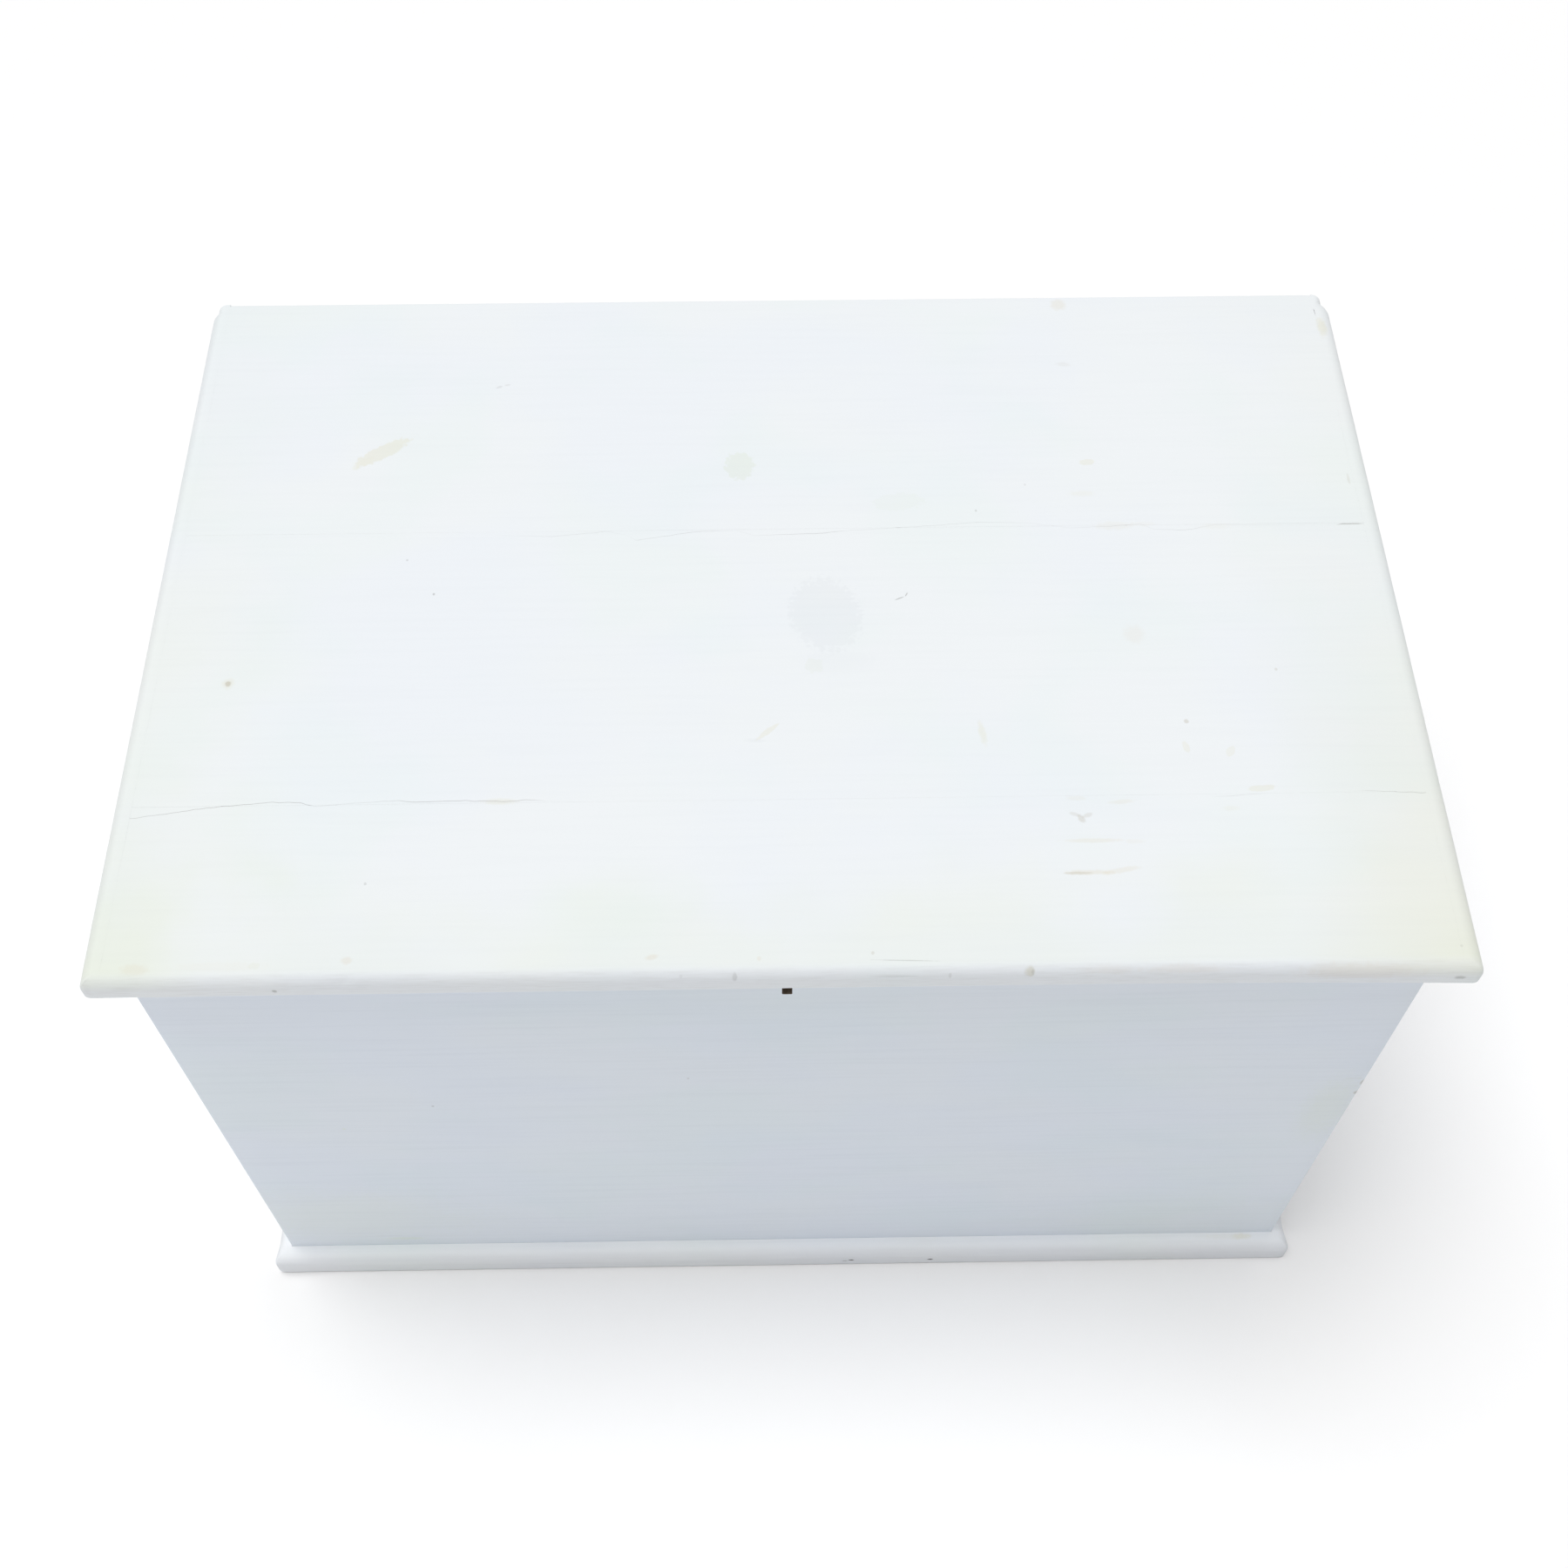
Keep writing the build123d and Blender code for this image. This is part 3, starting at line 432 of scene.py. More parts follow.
class Graph:
    """A material's node tree, with short ways to add the nodes that the finishes below are made of."""

    def __init__(self, name):
        self.material = bpy.data.materials.new(name)
        self.material.use_nodes = True
        self.tree = self.material.node_tree
        self.tree.nodes.clear()
        self.place = self.node("ShaderNodeTexCoord").outputs["Object"]

    def put(self, value, socket):
        """Links another node's output to an input, or sets the input's own value."""
        if isinstance(value, bpy.types.NodeSocket):
            self.tree.links.new(value, socket)
        else:
            socket.default_value = value

    def node(self, kind, inputs=(), **settings):
        """Adds a node. inputs pairs an input's name or number with its value."""
        made = self.tree.nodes.new(kind)
        for name, value in settings.items():
            setattr(made, name, value)
        for key, value in dict(inputs).items():
            self.put(value, made.inputs[key])
        return made

    def sum(self, kind, *values):
        """One arithmetic step on numbers."""
        return self.node("ShaderNodeMath", enumerate(values), operation=kind).outputs[0]

    def vector(self, kind, *values):
        """One arithmetic step on places."""
        return self.node("ShaderNodeVectorMath", enumerate(values), operation=kind)

    def blend(self, amount, a, b, kind="MIX"):
        """Mixes two colours."""
        made = self.node("ShaderNodeMix", {"Factor": amount}, data_type="RGBA", blend_type=kind)
        for name, value in (("A", a), ("B", b)):
            socket = [one for one in made.inputs if one.name == name and one.type == "RGBA"][0]
            self.put((*value, 1.0) if isinstance(value, tuple) else value, socket)
        return [one for one in made.outputs if one.type == "RGBA"][0]

    def tint(self, amount, colour, by):
        """Multiplies a colour by a tint, as far as amount says."""
        return self.blend(amount, colour, by, "MULTIPLY")

    def ramp(self, value, low, high, start=0.0, end=1.0):
        """Turns a number between low and high into a smooth step from start to end."""
        inputs = {"Value": value, "From Min": low, "From Max": high, "To Min": start, "To Max": end}
        return self.node("ShaderNodeMapRange", inputs, interpolation_type="SMOOTHSTEP").outputs[0]

    def scaled(self, sizes, shift=0.0):
        """The place on the object, divided by a size in metres along each axis."""
        stretch = [1 / size for size in sizes]
        return self.vector("MULTIPLY_ADD", self.place, stretch, (shift,) * 3).outputs[0]

    def noise(self, sizes, detail=2.0, shift=0.0):
        """Soft noise between 0 and 1 with features of about the given size along each axis."""
        inputs = {"Vector": self.scaled(sizes, shift), "Scale": 1.0, "Detail": detail}
        return self.node("ShaderNodeTexNoise", inputs).outputs["Fac"]

    def spot(self, centre, radii, turn):
        """How far the place is from an ellipsoid's centre, where 1 is its surface. In millimetres."""
        if turn:
            inputs = {
                "Vector": self.place,
                "Location": [value * MM for value in centre],
                "Rotation": (0, 0, math.radians(turn)),
                "Scale": [value * MM for value in radii],
            }
            local = self.node("ShaderNodeMapping", inputs, vector_type="TEXTURE").outputs[0]
        else:
            stretch = [1 / (value * MM) for value in radii]
            shift = [-place / radius for place, radius in zip(centre, radii)]
            local = self.vector("MULTIPLY_ADD", self.place, stretch, shift).outputs[0]
        return self.vector("LENGTH", local).outputs["Value"]

    def marks(self, colour, groups):
        """Tints a colour with groups of ragged marks."""
        rag = self.sum("MULTIPLY_ADD", self.noise((3.5 * MM,) * 3), 0.9, -0.45)
        for by, softness, spots in groups:
            total = 0.0
            for centre, radii, turn, strength in spots:
                reach = self.sum("ADD", self.spot(centre, radii, turn), rag)
                share = self.ramp(reach, 1.0 - softness, 1.0 + softness, strength, 0.0)
                total = self.sum("ADD", share, total)
            colour = self.tint(total, colour, by)
        return colour

    def finish(self, colour, roughness, height=None, depth=0.0, metallic=0.0, shine=0.5):
        """The surface shader at the end of the tree."""
        inputs = {"Base Color": colour, "Roughness": roughness, "Metallic": metallic}
        inputs["Specular IOR Level"] = shine
        shader = self.node("ShaderNodeBsdfPrincipled", inputs)
        if height is not None:
            bump = self.node("ShaderNodeBump", {"Strength": 1.0, "Distance": depth, "Height": height})
            self.put(bump.outputs[0], shader.inputs["Normal"])
        out = self.node("ShaderNodeOutputMaterial")
        self.put(shader.outputs[0], out.inputs["Surface"])
        return self.material


def paint(graph, white, streak):
    """Aged white paint's colour, before its marks: patches of tint, and streaks along the brush."""
    patches = graph.ramp(graph.noise((170 * MM, 130 * MM, 130 * MM), 3.0), 0.40, 0.62, 0.0, 0.85)
    colour = graph.tint(patches, white, COOL)
    greens = graph.ramp(graph.noise((120 * MM, 100 * MM, 100 * MM), 3.0, 7.0), 0.46, 0.66, 0.0, 0.8)
    colour = graph.tint(greens, colour, GREENISH)
    streaks = graph.ramp(graph.noise((110 * MM, 4 * MM, 4 * MM), 3.0, 11.0), 0.40, 0.78, 0.0, streak)
    return graph.tint(streaks, colour, STREAKED)


def brush_relief(graph):
    """The height of brush strokes and of the paint's fine texture."""
    strokes = graph.noise((90 * MM, 1.8 * MM, 1.8 * MM), 2.0, 5.0)
    return graph.sum("MULTIPLY_ADD", graph.noise((1.6 * MM,) * 3, 1.0), 0.2, strokes)


def lid_paint():
    """Paint on the lid: yellowed near its ends and front, with streaky painted shade on the front of the
    nosing and painted shade low on its left end, dirty in its cracks.
    """
    graph = Graph("lid_paint")
    colour = paint(graph, LID_WHITE, 0.4)
    wander = graph.sum("MULTIPLY_ADD", graph.noise((95 * MM,) * 3, 3.0, 23.0), 0.16, -0.08)
    split = graph.node("ShaderNodeSeparateXYZ", {0: graph.place})
    x = graph.sum("ADD", split.outputs["X"], wander)
    y = graph.sum("ADD", split.outputs["Y"], wander)
    top = graph.ramp(split.outputs["Z"], *TOP_EDGE)
    ahead = graph.sum("MULTIPLY", graph.ramp(y, *FRONT_HALF, 1.0, 0.25), top)
    right = graph.sum("MULTIPLY", graph.ramp(x, *RIGHT_END, 0.0, 0.65), ahead)
    left = graph.sum("MULTIPLY", graph.ramp(x, *LEFT_END, 1.0, 0.0), ahead)
    colour = graph.tint(right, colour, AGED)
    colour = graph.tint(left, colour, YELLOWED)
    edge = graph.ramp(split.outputs["Y"], *NOSE_FRONT, 1.0, 0.0)
    behind = graph.sum("SUBTRACT", 1.0, edge)
    strip = graph.sum("MULTIPLY", graph.ramp(y, *FRONT_STRIP, 0.65, 0.0), behind)
    colour = graph.tint(graph.sum("MULTIPLY", strip, top), colour, YELLOWED)
    # Painted shade low on the nosing at the lid's left end
    beside = graph.ramp(split.outputs["X"], *NOSE_LEFT, 1.0, 0.0)
    above = graph.ramp(split.outputs["Z"], *NOSE_HEIGHT)
    colour = graph.tint(graph.sum("MULTIPLY", beside, above), colour, LOWER_NOSE_SHADE)
    # Painted shade on the front of the nosing, broken into streaks
    nose_shade_streaks = graph.ramp(graph.noise((18 * MM, 1.6 * MM, 1.6 * MM), 3.0, 61.0), 0.42, 0.72)
    colour = graph.tint(graph.sum("MULTIPLY", nose_shade_streaks, edge), colour, STREAKY_NOSE_SHADE)
    colour = graph.marks(colour, LID_MARKS + NOSE_MARKS)
    dirt = graph.node("ShaderNodeAttribute", attribute_name=CRACK_LAYER).outputs["Fac"]
    colour = graph.blend(dirt, colour, CRACK_DIRT)
    return graph.finish(colour, LID_ROUGHNESS, brush_relief(graph), BRUSH_DEPTH, shine=PAINT_SHINE)


def case_paint():
    """Paint on the case walls, tinted blue as painted cool shade."""
    graph = Graph("case_paint")
    colour = graph.marks(paint(graph, CASE_WHITE_COOL_SHADE, 0.8), CASE_MARKS)
    return graph.finish(colour, CASE_ROUGHNESS, brush_relief(graph), BRUSH_DEPTH, shine=PAINT_SHINE)


def plinth_paint():
    """Paint on the plinth: brightened as painted light, with painted shade low on its face, and chipped."""
    graph = Graph("plinth_paint")
    height = graph.node("ShaderNodeSeparateXYZ", {0: graph.place}).outputs["Z"]
    # Painted shade darkens the plinth below its rounded top
    face_shade = graph.ramp(height, *PLINTH_SHADE_HEIGHT, 1.0, 0.0)
    colour = graph.tint(face_shade, paint(graph, PLINTH_LIT_WHITE, 1.0), PLINTH_FACE_SHADE)
    colour = graph.marks(colour, PLINTH_MARKS)
    relief = brush_relief(graph)
    return graph.finish(colour, CASE_ROUGHNESS, relief, PLINTH_BRUSH_DEPTH, shine=PAINT_SHINE)


def bare_pine(name, stretch, pale):
    """Unpainted pine with growth lines along one axis, knots and a little dirt."""
    graph = Graph(name)
    broad = graph.noise([4 * size for size in stretch], 3.0, 41.0)
    lines = graph.sum("ADD", graph.noise(stretch, 4.0), broad)
    rings = graph.ramp(graph.sum("FRACT", graph.sum("MULTIPLY", lines, 5.0)), 0.25, 0.95)
    dark = (pale[0] * 0.72, pale[1] * 0.60, pale[2] * 0.44)
    colour = graph.blend(graph.sum("MULTIPLY", rings, 0.55), pale, dark)
    knot_place = graph.scaled((240 * MM, 110 * MM, 110 * MM))
    cells = graph.node("ShaderNodeTexVoronoi", {"Vector": knot_place, "Scale": 1.0})
    knots = graph.ramp(cells.outputs["Distance"], 0.06, 0.11, 0.75, 0.0)
    colour = graph.blend(knots, colour, KNOT_BROWN)
    dirt = graph.ramp(graph.noise((120 * MM,) * 3, 4.0, 43.0), 0.45, 0.75, 0.0, 0.45)
    return graph.finish(graph.tint(dirt, colour, WOOD_DIRT), PINE_ROUGHNESS, rings, RING_DEPTH)


def metal(name, base, stain, roughness, metallic=1.0):
    """Old metal: a base colour with stained patches and a slightly pitted surface."""
    graph = Graph(name)
    patches = graph.ramp(graph.noise((12 * MM,) * 3, 5.0, 47.0), 0.42, 0.68)
    rough = graph.ramp(graph.noise((6 * MM,) * 3, 4.0, 53.0), 0.3, 0.7, roughness - 0.1, roughness + 0.12)
    pits = graph.noise((2.2 * MM,) * 3, 4.0, 59.0)
    return graph.finish(graph.blend(patches, base, stain), rough, pits, PIT_DEPTH, metallic)


LID_PAINT = lid_paint()
CASE_PAINT = case_paint()
PLINTH_PAINT = plinth_paint()
PINE_ACROSS = bare_pine("pine_along_x", (450 * MM, 35 * MM, 35 * MM), (0.66, 0.47, 0.28))
PINE_BACKWARD = bare_pine("pine_along_y", (35 * MM, 450 * MM, 35 * MM), (0.64, 0.45, 0.27))
# Dark pine on the keyhole's cut faces: painted shade inside the keyhole
KEYHOLE_SHADE_PINE = bare_pine("keyhole_shade_pine", (6 * MM, 20 * MM, 6 * MM), (0.26, 0.21, 0.16))
IRON = metal("old_iron", (0.13, 0.12, 0.115), (0.16, 0.075, 0.04), 0.55, 0.75)
STEEL = metal("old_steel", (0.36, 0.35, 0.33), (0.20, 0.12, 0.075), 0.45, 0.9)
BRASS = metal("old_brass", (0.62, 0.44, 0.19), (0.30, 0.20, 0.10), 0.38)


def waver(x, y, z, sizes, seed):
    """Smooth noise between about -1 and 1 at a place, with a feature size for each axis."""
    return noise.noise(Vector((x / sizes[0] + seed, y / sizes[1], z / sizes[2])))


def evenly(start, end, count):
    """As many evenly spaced values as count says, from start to end."""
    return [start + (end - start) * i / (count - 1) for i in range(count)]


def steps(start, end, size):
    """Evenly spaced values from start to end, no further apart than size."""
    return evenly(start, end, max(1, math.ceil(abs(end - start) / size)) + 1)


def arc(out, up, radius, start, end, size=9):
    """Points on a round, between two angles in degrees that count from straight out towards up."""
    turns = [math.radians(turn) for turn in steps(start, end, size)]
    return [(out + radius * math.cos(turn), up + radius * math.sin(turn)) for turn in turns]


def rounded(x, y, half, low, high, corners):
    """Moves a point of a square-cornered plan onto the same plan with round corners."""
    side = 1 if x > 0 else -1
    end = 1 if y > (low + high) / 2 else -1
    radius = corners.get((side, end), 0.0)
    centre_x = side * (half - radius)
    centre_y = (high if end > 0 else low) - end * radius
    out = Vector(((x - centre_x) * side, (y - centre_y) * end))
    if radius == 0.0 or out.x <= 0 or out.y <= 0:
        return x, y
    out *= max(out.x, out.y) / out.length
    return centre_x + out.x * side, centre_y + out.y * end


def on_lid_plan(x, y):
    """A point of the lid's plan with its corners rounded."""
    return rounded(x, y, LID_HALF, LID_FRONT, LID_BACK, LID_CORNERS)


def to_mesh(made, name):
    """A mesh datablock from a bmesh."""
    mesh = bpy.data.meshes.new(name)
    made.to_mesh(mesh)
    made.free()
    return mesh


def dressed(made, node, body, materials):
    """Makes a bmesh the piece that is shown for a CAD node, and rides it on its body."""
    mesh = to_mesh(made, node)
    piece = bpy.data.objects.new("dressed_" + node, mesh)
    bpy.context.scene.collection.objects.link(piece)
    for material in materials:
        mesh.materials.append(material)
    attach(piece, body)
    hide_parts(node)


def sharpen(made, angle):
    """Smooth shading, with edges sharper than the angle kept crisp."""
    limit = math.radians(angle)
    for face in made.faces:
        face.smooth = True
    for edge in made.edges:
        edge.smooth = not (len(edge.link_faces) == 2 and edge.calc_face_angle(0.0) > limit)


def cad_copy(node):
    """The CAD node's mesh, welded and with its flat faces whole again."""
    made = bmesh.new()
    made.from_mesh(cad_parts[node].data)
    bmesh.ops.remove_doubles(made, verts=made.verts, dist=0.002 * MM)
    limit = math.radians(0.3)
    bmesh.ops.dissolve_limit(made, angle_limit=limit, verts=made.verts, edges=made.edges)
    return made


def add_grid(made, rows):
    """Adds a grid of quads from rows of points, each an x, y, z and how dirty it is."""
    layers = made.verts.layers.float
    layer = layers.get(CRACK_LAYER) or layers.new(CRACK_LAYER)
    grid = []
    for row in rows:
        line = []
        for x, y, z, dirt in row:
            vert = made.verts.new((x, y, z))
            vert[layer] = dirt
            line.append(vert)
        grid.append(line)
    for low, high in zip(grid, grid[1:]):
        for corners in zip(low, low[1:], high[1:], high):
            made.faces.new(corners)


def along(crack, x):
    """The crack at x: its place across the lid, in metres, and how open it is."""
    for (x0, y0, open0), (x1, y1, open1) in zip(crack, crack[1:]):
        if x <= x1 * MM:
            share = max(0.0, (x / MM - x0) / (x1 - x0))
            width = open0 + (open1 - open0) * share
            rag = CRACK_RAG * min(1.0, width * 2) * waver(x, 0, 0, (6 * MM, 1, 1), crack[0][1])
            return (y0 + (y1 - y0) * share) * MM + rag, width
    return crack[-1][1] * MM, crack[-1][2]


def board_edges(board, x):
    """The near and far edge of a lid board's top at x, each with how open the crack along it is."""
    front = (PANEL_FRONT, 0.0)
    back = (LID_BACK - BACK_ARRIS, 0.0)
    first = along(FRONT_CRACK, x)
    second = along(REAR_CRACK, x)
    return {"front": (front, first), "middle": (first, second), "rear": (second, back)}[board]


def settling(width):
    """How far the rows of points beside a crack lie from its bottom."""
    lip = CRACK_HALF_WIDTH * max(1.0, width)
    return [0.0, lip, 3 * lip, 8 * lip, 20 * lip]


def top_point(x, y, width=0.0, row=2):
    """A point of a lid board's top. row counts away from the bottom of a crack of the given width."""
    share = min(1.0, width)
    dip = CRACK_DEPTH * share if row == 0 else 0.0
    dirt = [share, LIP_DIRT * share, 0.0][min(row, 2)]
    sag = LID_SAG * (1 - waver(x, y, 0, (120 * MM, 50 * MM, 1), 2.0)) / 2
    px, py = on_lid_plan(x, y)
    return px, py, LID_TOP - dip - sag, dirt


def top_column(board, x, inner_count):
    """The points of a lid board's top at x, from its near edge to its far edge."""
    (low, low_width), (high, high_width) = board_edges(board, x)
    near = [top_point(x, low + gap, low_width, row) for row, gap in enumerate(settling(low_width))]
    inner = [top_point(x, y) for y in evenly(low + CRACK_MARGIN, high - CRACK_MARGIN, inner_count)]
    far = [top_point(x, high - gap, high_width, row) for row, gap in enumerate(settling(high_width))]
    return near + inner + far[::-1]


def back_column(x):
    """The rounded back arris of the lid and its back face at x, from the top down."""
    round_top = LID_TOP - LID_SAG - BACK_ARRIS
    column = []
    for y, z in arc(LID_BACK - BACK_ARRIS, round_top, BACK_ARRIS, 90, 0, 18)[1:] + [(LID_BACK, LID_FOOT)]:
        px, py = on_lid_plan(x, y)
        column.append((px, py, z, 0.0))
    return column


def bare_underside(made):
    """Cuts the underside along the case's inner outline and gives what is inside it bare wood."""
    cuts = [((INNER_HALF, 0, 0), (1, 0, 0)), ((-INNER_HALF, 0, 0), (-1, 0, 0))]
    cuts += [((0, INNER_FRONT, 0), (0, -1, 0)), ((0, INNER_BACK, 0), (0, 1, 0))]
    for point, normal in cuts:
        low = [face for face in made.faces if face.calc_center_median().z < LID_FOOT + MM]
        under = [face for face in low if face.normal.z < -0.9]
        parts = {part for face in under for part in (*face.verts, *face.edges, face)}
        bmesh.ops.bisect_plane(made, geom=list(parts), plane_co=point, plane_no=normal, dist=0.001 * MM)
    for face in made.faces:
        middle = face.calc_center_median()
        inside = abs(middle.x) < INNER_HALF and INNER_FRONT < middle.y < INNER_BACK
        if inside and middle.z < LID_TOP - MM:
            face.material_index = 1


def lid_board(board):
    """A lid board: the CAD board with its top made again as worn paint over cracked joints."""
    node = "lid_board_" + board
    made = cad_copy(node)
    low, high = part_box(node)
    high_up = [face for face in made.faces if face.calc_center_median().z > LID_TOP - 0.1 * MM]
    gone = [face for face in high_up if face.normal.z > 0.99]
    if board == "rear":
        behind = CASE_BACK + 10 * MM
        far_back = [face for face in made.faces if face.calc_center_median().y > behind]
        gone += [face for face in far_back if face.normal.y > 0.05]
    bmesh.ops.delete(made, geom=gone, context="FACES")
    bare_underside(made)
    columns = []
    for x in steps(low.x, high.x, LID_STEP):
        column = top_column(board, x, round((high.y - low.y) / BOARD_STEP))
        columns.append(column + back_column(x) if board == "rear" else column)
    add_grid(made, zip(*columns))
    sharpen(made, 32)
    dressed(made, node, "lid", [LID_PAINT, PINE_ACROSS])


def moulding_outline(width, height, top_round, foot_round):
    """A moulding in section, as places outward and up from its inner foot."""
    foot = arc(width - foot_round, foot_round, foot_round, -90, 0, 18)
    upright = [(width, up) for up in steps(foot_round, height - top_round, 2 * MM)[1:-1]]
    top = arc(width - top_round, height - top_round, top_round, 0, 90)
    return [(0.0, 0.0)] + foot + upright + top + [(0.0, height)]


def moulding(node, body, outline, place, length, material):
    """A moulding. place turns a point of the outline and a share of the length into a point in space."""
    made = bmesh.new()
    closed = outline + outline[:1]
    shares = steps(0.0, 1.0, MOULDING_STEP / length)
    add_grid(made, [[(*place(out, up, share), 0.0) for out, up in closed] for share in shares])
    bmesh.ops.remove_doubles(made, verts=made.verts, dist=0.001 * MM)
    bmesh.ops.holes_fill(made, edges=[edge for edge in made.edges if edge.is_boundary], sides=0)
    bmesh.ops.recalc_face_normals(made, faces=made.faces)
    sharpen(made, 40)
    dressed(made, node, body, [material])


def hollow(x, z, centre, half):
    """How deep a smooth hollow is at a place, as a share of its depth. Its centre and size are in mm."""
    across = (x / MM - centre[0]) / half[0]
    up = (z / MM - centre[1]) / half[1]
    return math.exp(-(across**2) - up**2)


def set_back(x):
    """How far the lid's worn front edge lies behind the solid's. It is least at the lid's ends."""
    end = NOSE_SET_BACK_RIGHT if x > 0 else NOSE_SET_BACK_LEFT
    return NOSE_SET_BACK + (end - NOSE_SET_BACK) * (x / LID_HALF) ** 4


def nose_point(x, y, out, up):
    """Sets back, rounds and wears one point of the lid's nosing."""
    z = LID_FOOT + up
    x, y = on_lid_plan(x, y)
    wear = 0.0
    if out > NOSING_WIDTH - NOSE_TOP_ROUND:
        wear = NOSE_WEAR * (1 - waver(x, y, z, NOSE_WEAR_SIZES, 4.0))
    if y < PANEL_FRONT:
        y += (PANEL_FRONT - y) * set_back(x) / NOSING_WIDTH + wear
        y += NOSE_DENT * hollow(x, z, NOSE_DENT_PLACE, NOSE_DENT_SIZE)
    if abs(x) > PANEL_HALF:
        x -= math.copysign(wear, x)
    return x, y, z


def nose_across(out, up, share):
    """A point of the front nosing, a share of the way from its left mitre to its right one."""
    return nose_point((PANEL_HALF + out) * (2 * share - 1), PANEL_FRONT - out, out, up)


def nose_beside(side, out, up, share):
    """A point of a side nosing, a share of the way from its mitre to the lid's back."""
    start = PANEL_FRONT - out
    return nose_point(side * (PANEL_HALF + out), start + (LID_BACK - start) * share, out, up)


def lid_nosing():
    """The nosing round three sides of the lid, mitred at the front corners."""
    outline = moulding_outline(NOSING_WIDTH, LID_THICKNESS, NOSE_TOP_ROUND, NOSE_FOOT_ROUND)
    moulding("nosing_front", "lid", outline, nose_across, 2 * LID_HALF, LID_PAINT)
    for side, name in ((-1, "nosing_left"), (1, "nosing_right")):
        moulding(name, "lid", outline, partial(nose_beside, side), LID_BACK - LID_FRONT, LID_PAINT)


def nosing_nails():
    """The nails of the nosing, with those of its front edge set back as far as the edge is."""
    made = cad_copy("nosing_nails")
    for vert in made.verts:
        if abs(vert.co.x) < PANEL_HALF - NOSING_NAIL_REACH:
            vert.co.y += set_back(vert.co.x)
    sharpen(made, 32)
    dressed(made, "nosing_nails", "lid", [STEEL])


def plinth_point(x, y, out, up):
    """Rounds and wears one point of the plinth, whose sides flare towards the front corners."""
    beside = (abs(x) - CASE_HALF) / PLINTH_SIDE
    near = 1 - (y - CASE_FRONT + PLINTH_FRONT) / PLINTH_FLARE_LENGTH
    if beside > 0 and near > 0:
        x += math.copysign(PLINTH_FLARE * beside * near * near * (3 - 2 * near), x)
    half = CASE_HALF + PLINTH_SIDE + PLINTH_FLARE
    x, y = rounded(x, y, half, CASE_FRONT - PLINTH_FRONT, CASE_BACK, PLINTH_CORNERS)
    if out < PLINTH_TOE:
        return x, y, up
    wear = PLINTH_WEAR * (1 - waver(x, y, up, PLINTH_WEAR_SIZES, 6.0))
    if y > CASE_FRONT:
        return x - math.copysign(wear, x), y, up
    chips = sum(hollow(x, up, place, CHIP_SIZE) for place in CHIP_PLACES)
    return x, y + wear + PLINTH_CHIP * chips, up


def plinth_across(out, up, share):
    """A point of the front plinth, a share of the way from its left mitre to its right one."""
    half = CASE_HALF + out * PLINTH_SIDE / PLINTH_FRONT
    return plinth_point(half * (2 * share - 1), CASE_FRONT - out, out, up)


def plinth_beside(side, out, up, share):
    """A point of a side plinth, a share of the way from its mitre to the case's back."""
    start = CASE_FRONT - out
    x = side * (CASE_HALF + out * PLINTH_SIDE / PLINTH_FRONT)
    return plinth_point(x, start + (CASE_BACK - start) * share, out, up)


def plinth():
    """The plinth round three sides of the case, mitred at the front corners."""
    outline = moulding_outline(PLINTH_FRONT, PLINTH_TOP, PLINTH_SHOULDER, PLINTH_TOE)
    moulding("plinth_front", "case", outline, plinth_across, 2 * CASE_HALF, PLINTH_PAINT)
    for side, name in ((-1, "plinth_left"), (1, "plinth_right")):
        moulding(name, "case", outline, partial(plinth_beside, side), CASE_BACK - CASE_FRONT, PLINTH_PAINT)


def on_arris(edge):
    """Whether an edge lies on one of the case's four upright corners."""
    for vert in edge.verts:
        gap_x = abs(abs(vert.co.x) - CASE_HALF)
        gap_y = min(abs(vert.co.y - CASE_FRONT), abs(vert.co.y - CASE_BACK))
        if max(gap_x, gap_y) > 0.05 * MM:
            return False
    return True


def wall_board(node, pine):
    """A wall board: the CAD board with worn corners, painted outside and bare inside, with dark pine as
    painted shade inside the keyhole.
    """
    made = cad_copy(node)
    corners = [edge for edge in made.edges if on_arris(edge)]
    shape = {"offset": ARRIS, "segments": 3, "profile": 0.5, "affect": "EDGES", "clamp_overlap": True}
    bmesh.ops.bevel(made, geom=corners, **shape)
    skin = 0.1 * MM
    for face in made.faces:
        middle = face.calc_center_median()
        if abs(middle.x) < INNER_HALF + skin and INNER_FRONT - skin < middle.y < INNER_BACK + skin:
            face.material_index = 1
        in_wall = CASE_FRONT + skin < middle.y < INNER_FRONT - skin
        beside_lock = CAP_LOW.x - MM < middle.x < CAP_HIGH.x + MM
        # The keyhole's cut faces get dark pine, painted shade inside the keyhole
        if in_wall and beside_lock and CAP_LOW.z - MM < middle.z < LID_FOOT - MM:
            face.material_index = 2
    sharpen(made, 32)
    dressed(made, node, "case", [CASE_PAINT, pine, KEYHOLE_SHADE_PINE])


def case_walls():
    """All eight wall boards."""
    for level in ("lower", "upper"):
        for face in ("front", "back"):
            wall_board(face + "_board_" + level, PINE_ACROSS)
        for side in ("left", "right"):
            wall_board(side + "_end_board_" + level, PINE_BACKWARD)


def refinish(nodes, material):
    """Gives CAD nodes that are shown as they are one finish."""
    for node in nodes:
        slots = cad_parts[node].data.materials
        slots.clear()
        slots.append(material)


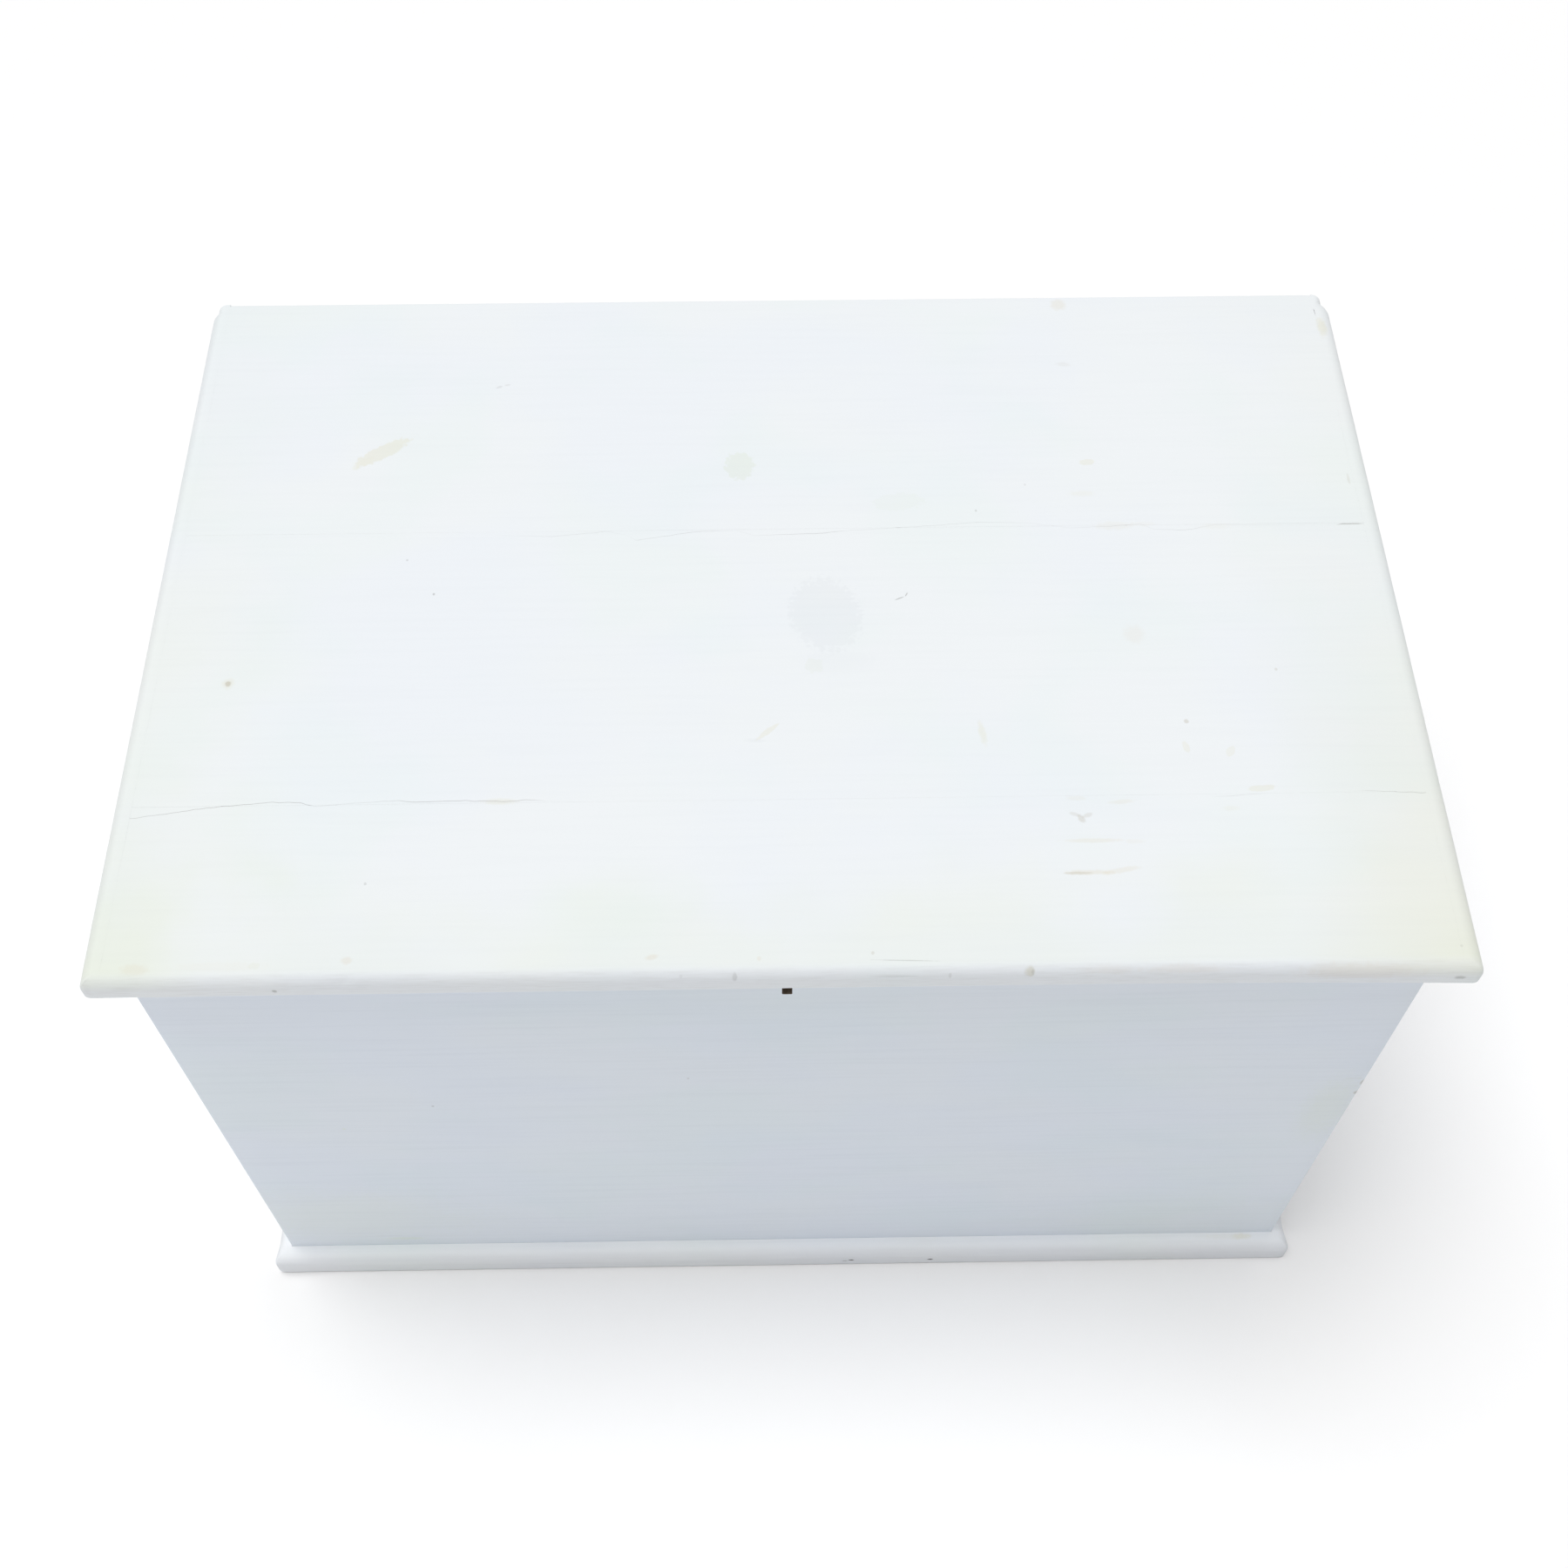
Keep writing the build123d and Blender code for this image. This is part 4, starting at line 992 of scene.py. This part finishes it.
def inner_parts():
    """Finishes for the parts that keep their CAD shape."""
    refinish(["bottom_board_front", "bottom_board_middle", "bottom_board_rear"], PINE_ACROSS)
    refinish(["lid_batten_left", "lid_batten_right"], PINE_BACKWARD)
    leaves = ["hinge_leaf_" + body + "_" + side for body in ("case", "lid") for side in ("left", "right")]
    refinish(leaves + ["lock_back_plate", "lock_cap", "strike_plate"], IRON)
    refinish(["lock_bolt", "lock_key_pin"], BRASS)
    refinish(["hinge_pin_left", "hinge_pin_right", "hinge_screws_case", "hinge_screws_lid"], STEEL)
    refinish(["lock_screws", "strike_screws", "batten_screws", "bolt_spring"], STEEL)
    refinish(["bottom_nails", "plinth_nails"], STEEL)


def floor():
    """A plain white floor."""
    graph = Graph("floor_white")
    colour = graph.blend(graph.noise((1.5, 1.5, 1.5)), *FLOOR_WHITES)
    made = bmesh.new()
    bmesh.ops.create_grid(made, x_segments=8, y_segments=8, size=FLOOR_HALF)
    mesh = to_mesh(made, "studio_floor")
    mesh.materials.append(graph.finish(colour, 0.9, shine=0.0))
    piece = bpy.data.objects.new("studio_floor", mesh)
    bpy.context.scene.collection.objects.link(piece)


def add_lamp(name, light, place, toward):
    """Adds a lamp at a place, shining along a direction."""
    lamp = bpy.data.objects.new(name, light)
    lamp.location = place
    lamp.rotation_euler = Vector(toward).to_track_quat("-Z", "Y").to_euler()
    bpy.context.scene.collection.objects.link(lamp)


def lights():
    """A bright room, a broad light nearly overhead, and a weak fill from the front left."""
    world = bpy.data.worlds.new("studio")
    world.use_nodes = True
    world.node_tree.nodes["Background"].inputs["Color"].default_value = (1.0, 1.0, 1.0, 1.0)
    world.node_tree.nodes["Background"].inputs["Strength"].default_value = ROOM_LIGHT
    bpy.context.scene.world = world
    key = bpy.data.lights.new("overhead", "SUN")
    key.energy = KEY_LIGHT * math.pi
    key.angle = math.radians(KEY_SPREAD)
    add_lamp("overhead", key, KEY_PLACE, KEY_DIRECTION)
    fill = bpy.data.lights.new("fill", "AREA")
    fill.shape = "RECTANGLE"
    fill.size, fill.size_y = FILL_SIZE
    fill.energy = FILL_LIGHT
    add_lamp("fill", fill, FILL_PLACE, -Vector(FILL_PLACE))


def camera():
    """The photograph's camera."""
    data = bpy.data.cameras.new("photo_camera")
    data.sensor_width = SENSOR
    data.lens = FOCAL_LENGTH_PX / PHOTO_SIDE * SENSOR
    data.clip_start = NEAREST_SHOWN
    turn = Matrix((CAMERA_RIGHT, CAMERA_UP, CAMERA_RIGHT.cross(CAMERA_UP))).transposed()
    lens = bpy.data.objects.new("photo_camera", data)
    lens.matrix_world = Matrix.Translation(CAMERA_PLACE) @ turn.to_4x4()
    bpy.context.scene.collection.objects.link(lens)
    bpy.context.scene.camera = lens


for board in ("front", "middle", "rear"):
    lid_board(board)
lid_nosing()
nosing_nails()
case_walls()
plinth()
inner_parts()
floor()
lights()
camera()
bpy.context.scene.view_settings.view_transform = "Standard"
